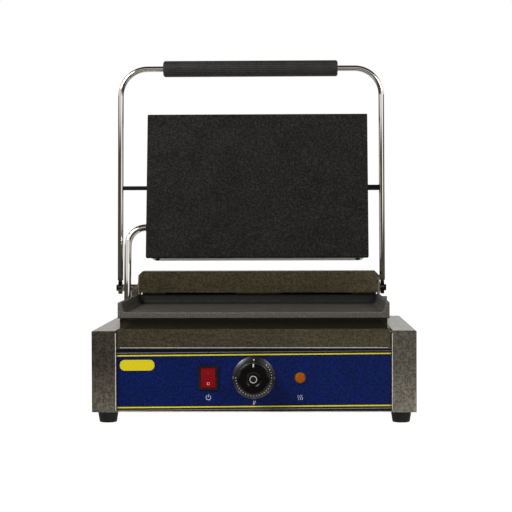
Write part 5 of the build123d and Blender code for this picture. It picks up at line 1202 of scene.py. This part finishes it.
@dataclass
class Conduit:
    """The polished flexible conduit from the left wing to the lid."""

    radius: float = 5.0
    sides: int = 32
    bend_radius: float = 26.0
    bend_steps: int = 16
    knee_height: float = 150.0
    turn_start: float = 126.0
    turn_end: float = 222.0
    inside: float = 4.0
    overlap: float = 2.0
    steps: int = 40

    def build(self) -> None:
        """Builds the run past the axle and the bend into the lid."""
        low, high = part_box("conduit_gland")
        foot = (low + high) / 2
        low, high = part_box("lid_conduit_fitting")
        top = (low + high) / 2
        lid_x = high.x - self.inside * MM
        knee = Vector((foot.x, foot.y, self.knee_height * MM))
        corner = Vector((foot.x, top.y, top.z))
        rise = (corner - knee).normalized()
        leave = corner - rise * (self.bend_radius * MM)
        start = Vector((foot.x, foot.y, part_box("conduit")[0].z))
        run = tube(self.curved(start, knee, leave), self.radius, self.sides)
        lower = piece("conduit_run", run, CONDUIT_CHROME, None)
        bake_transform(lower)
        centre = leave + Vector((self.bend_radius * MM, 0, 0))
        bend = []
        for i in range(self.bend_steps + 1):
            x, up = on_circle(self.bend_radius * MM, i / self.bend_steps * math.pi / 2)
            bend.append(centre + Vector((-x, 0, 0)) + rise * up)
        bend.append(Vector((lid_x, bend[-1].y, bend[-1].z)))
        turned = tube([leave - rise * (self.overlap * MM), *bend], self.radius, self.sides)
        upper = piece("conduit_bend", turned, CONDUIT_CHROME, None)
        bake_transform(upper)
        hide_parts("conduit")

    def curved(self, start: Vector, knee: Vector, end: Vector) -> list[Vector]:
        """Gives points of a soft bend whose two ends aim at the knee, all in metres."""
        shares = [i / self.steps for i in range(self.steps + 1)]
        return [start * (1 - t) ** 2 + knee * (2 * t * (1 - t)) + end * t**2 for t in shares]


@dataclass
class Springs:
    """The two wound counterbalance springs round the axle."""

    wire_radius: float = 1.5
    turns: int = 26
    steps: int = 16
    wire_sides: int = 10

    def build(self) -> None:
        """Winds each spring from its collar outward."""
        low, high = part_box("hinge_springs")
        collar_low, collar_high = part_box("spring_collars")
        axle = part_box("hinge_shaft")
        middle = (axle[0] + axle[1]) / 2
        wire = self.wire_radius * MM
        reach = (collar_high.y - collar_low.y) / 2 - wire
        inner = collar_high.x + 2 * wire
        outer = high.x - wire
        count = self.turns * self.steps
        for side, name in ((-1, "left"), (1, "right")):
            path = []
            for i in range(count + 1):
                up, back = on_circle(reach, 2 * math.pi * i / self.steps)
                x = side * (inner + (outer - inner) * i / count)
                path.append(Vector((x, middle.y + back, middle.z + up)))
            path.append(Vector((side * outer, middle.y, high.z - wire)))
            coil = tube(path, self.wire_radius, self.wire_sides)
            title = f"{name}_counterbalance_spring"
            wound = piece(title, coil, SPRING_STEEL, None)
            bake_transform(wound)
            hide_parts("hinge_springs")


@dataclass
class Studio:
    """The camera, the pale floor and the soft light."""

    camera_x: float = 50.49
    camera_distance: float = 1950.0
    camera_height: float = 255.15
    focal_pixels: float = 1550.75
    yaw_left: float = 1.3865
    pitch_down: float = 1.2611
    roll: float = -0.1767
    floor_half: float = 12.0

    def build(self) -> None:
        """Builds the camera, the floor, the surroundings and the lamps."""
        self.camera()
        self.floor()
        self.surroundings()
        # Two soft lamps hang in front, at places in metres and with powers in watts.
        self.lamp("key", (-1.35, -1.15, 1.55), 0.9, 46.0)
        self.lamp("fill", (1.45, -1.2, 1.4), 0.8, 16.0)
        view = bpy.context.scene.view_settings
        view.view_transform = "Standard"
        view.look = "None"

    def camera(self) -> None:
        """Places the camera as in the photograph."""
        data = bpy.data.cameras.new("camera")
        data.sensor_width = SENSOR_MM
        data.lens = SENSOR_MM * self.focal_pixels / IMAGE_PIXELS
        data.clip_start, data.clip_end = 0.05, 60
        thing = placed("camera", data)
        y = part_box("left_wing")[0].y - self.camera_distance * MM
        thing.location = (self.camera_x * MM, y, self.camera_height * MM)
        turned = Matrix.Rotation(math.radians(self.yaw_left), 3, "Z")
        tipped = Matrix.Rotation(math.pi / 2 - math.radians(self.pitch_down), 3, "X")
        rolled = Matrix.Rotation(math.radians(self.roll), 3, "Z")
        thing.rotation_euler = (turned @ tipped @ rolled).to_euler()
        bpy.context.scene.camera = thing

    def floor(self) -> None:
        """Lays a wide sheet of white paper under the grill."""
        mesh = bmesh.new()
        bmesh.ops.create_grid(mesh, x_segments=1, y_segments=1, size=self.floor_half)
        data = bpy.data.meshes.new("floor")
        mesh.to_mesh(data)
        mesh.free()
        thing = placed("floor", data)
        material = bpy.data.materials.new("floor_paper")
        material.use_nodes = True
        inputs = material.node_tree.nodes["Principled BSDF"].inputs
        inputs["Base Color"].default_value = (0.16, 0.16, 0.16, 1)
        inputs["Roughness"].default_value = 1.0
        inputs["Specular IOR Level"].default_value = 0.0
        inputs["Emission Color"].default_value = (1, 1, 1, 1)
        inputs["Emission Strength"].default_value = 0.99
        data.materials.append(material)
        # The paper's own glow stays off the grill, which is lit by the lamps and the room.
        thing.visible_glossy = False
        thing.visible_diffuse = False
        thing.visible_shadow = False

    def surroundings(self) -> None:
        """Makes the room: white walls, dim straight in front apart from one tall window."""
        world = bpy.data.worlds.new("studio")
        bpy.context.scene.world = world
        world.use_nodes = True
        tree = world.node_tree
        tree.nodes.clear()
        across, back, up = parted(tree, add_node(tree, "TexCoord").outputs["Generated"])
        aside = add_node(tree, "Math", {"operation": "ABSOLUTE", 0: across}).outputs[0]
        front, window = (0.15, 0.135, 0.105, 1), (1.5, 1.5, 1.45, 1)
        table, ground = (0.05, 0.045, 0.04, 1), (0.85, 0.82, 0.76, 1)
        ceiling, white = (0.05, 0.048, 0.044, 1), (1, 1, 1, 1)
        # Directions are unit vectors, so each part of the room lies between two of their values.
        tone = stepped(tree, across, 0.20, 0.26, front, window)
        tone = stepped(tree, across, 0.44, 0.50, tone, front)
        # White walls stand all round above a dark table's edge, apart from straight in front.
        walls = stepped(tree, up, 0.02, 0.10, table, white)
        tone = stepped(tree, aside, 0.74, 0.84, tone, walls)
        tone = stepped(tree, back, -0.08, 0.12, tone, walls)
        tone = stepped(tree, up, -0.60, -0.25, ground, tone)
        paper_floor = stepped(tree, up, -0.28, -0.12, white, tone)
        tone = stepped(tree, back, 0.3, 0.6, tone, paper_floor)
        tone = stepped(tree, up, 0.30, 0.55, tone, ceiling)
        # Only a true mirror shows the dark camera side, the wall above it and a bright lamp box.
        dark, lit = (0.09, 0.085, 0.075, 1), (1.5, 1.5, 1.48, 1)
        lift = {"operation": "MULTIPLY_ADD", 0: aside, 1: 0.05, 2: up}
        lifted = add_node(tree, "Math", lift).outputs[0]
        sharp = stepped(tree, lifted, 0.197, 0.217, dark, white)
        strip = stepped(tree, across, 0.34, 0.38, sharp, lit)
        strip = stepped(tree, across, 0.80, 0.86, strip, sharp)
        sharp = stepped(tree, up, 0.112, 0.132, sharp, strip)
        sharp = stepped(tree, up, -0.60, -0.25, ground, sharp)
        sharp = stepped(tree, up, 0.40, 0.60, sharp, ceiling)
        ray = add_node(tree, "LightPath").outputs
        tone = mixed(tree, ray["Is Singular Ray"], tone, sharp)
        room = add_node(tree, "Background", {"Color": tone}).outputs[0]
        paper = add_node(tree, "Background", {"Color": white}).outputs[0]
        seen = add_node(tree, "MixShader", {0: ray["Is Camera Ray"], 1: room, 2: paper})
        add_node(tree, "OutputWorld", {"Surface": seen.outputs[0]})

    @staticmethod
    def lamp(name: str, place: tuple[float, float, float], size: float, power: float) -> None:
        """Hangs one square lamp that faces the grill.

        Args:
            name: The lamp's name.
            place: Where it hangs, in metres.
            size: Its side in metres.
            power: Its power in watts.
        """
        data = bpy.data.lights.new(name, "AREA")
        data.size, data.energy = size, power
        thing = placed(name, data)
        thing.location = place
        aim = Vector((0, 0, 0.2)) - Vector(place)
        thing.rotation_euler = aim.to_track_quat("-Z", "Y").to_euler()


def dress_nodes(names: Iterable[str]) -> None:
    """Gives every carried-over node its finish.

    Args:
        names: The nodes' names.
    """
    finishes = {node: finish for finish, nodes in NODE_FINISHES.items() for node in nodes.split()}
    for name in sorted(names):
        set_finish(bpy.data.objects[name], finishes[name])
        LOG.info("node %s: %s", name, finishes[name].name)


def main() -> None:
    """Builds the whole scene round the frame."""
    logging.basicConfig(level=logging.INFO, format="%(message)s")
    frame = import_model()
    Studio().build()
    dress_nodes(frame["nodes"])
    for part in (Body(), Thermostat(), Switch(), Conduit(), Springs()):
        part.build()


if __name__ == "__main__":
    main()
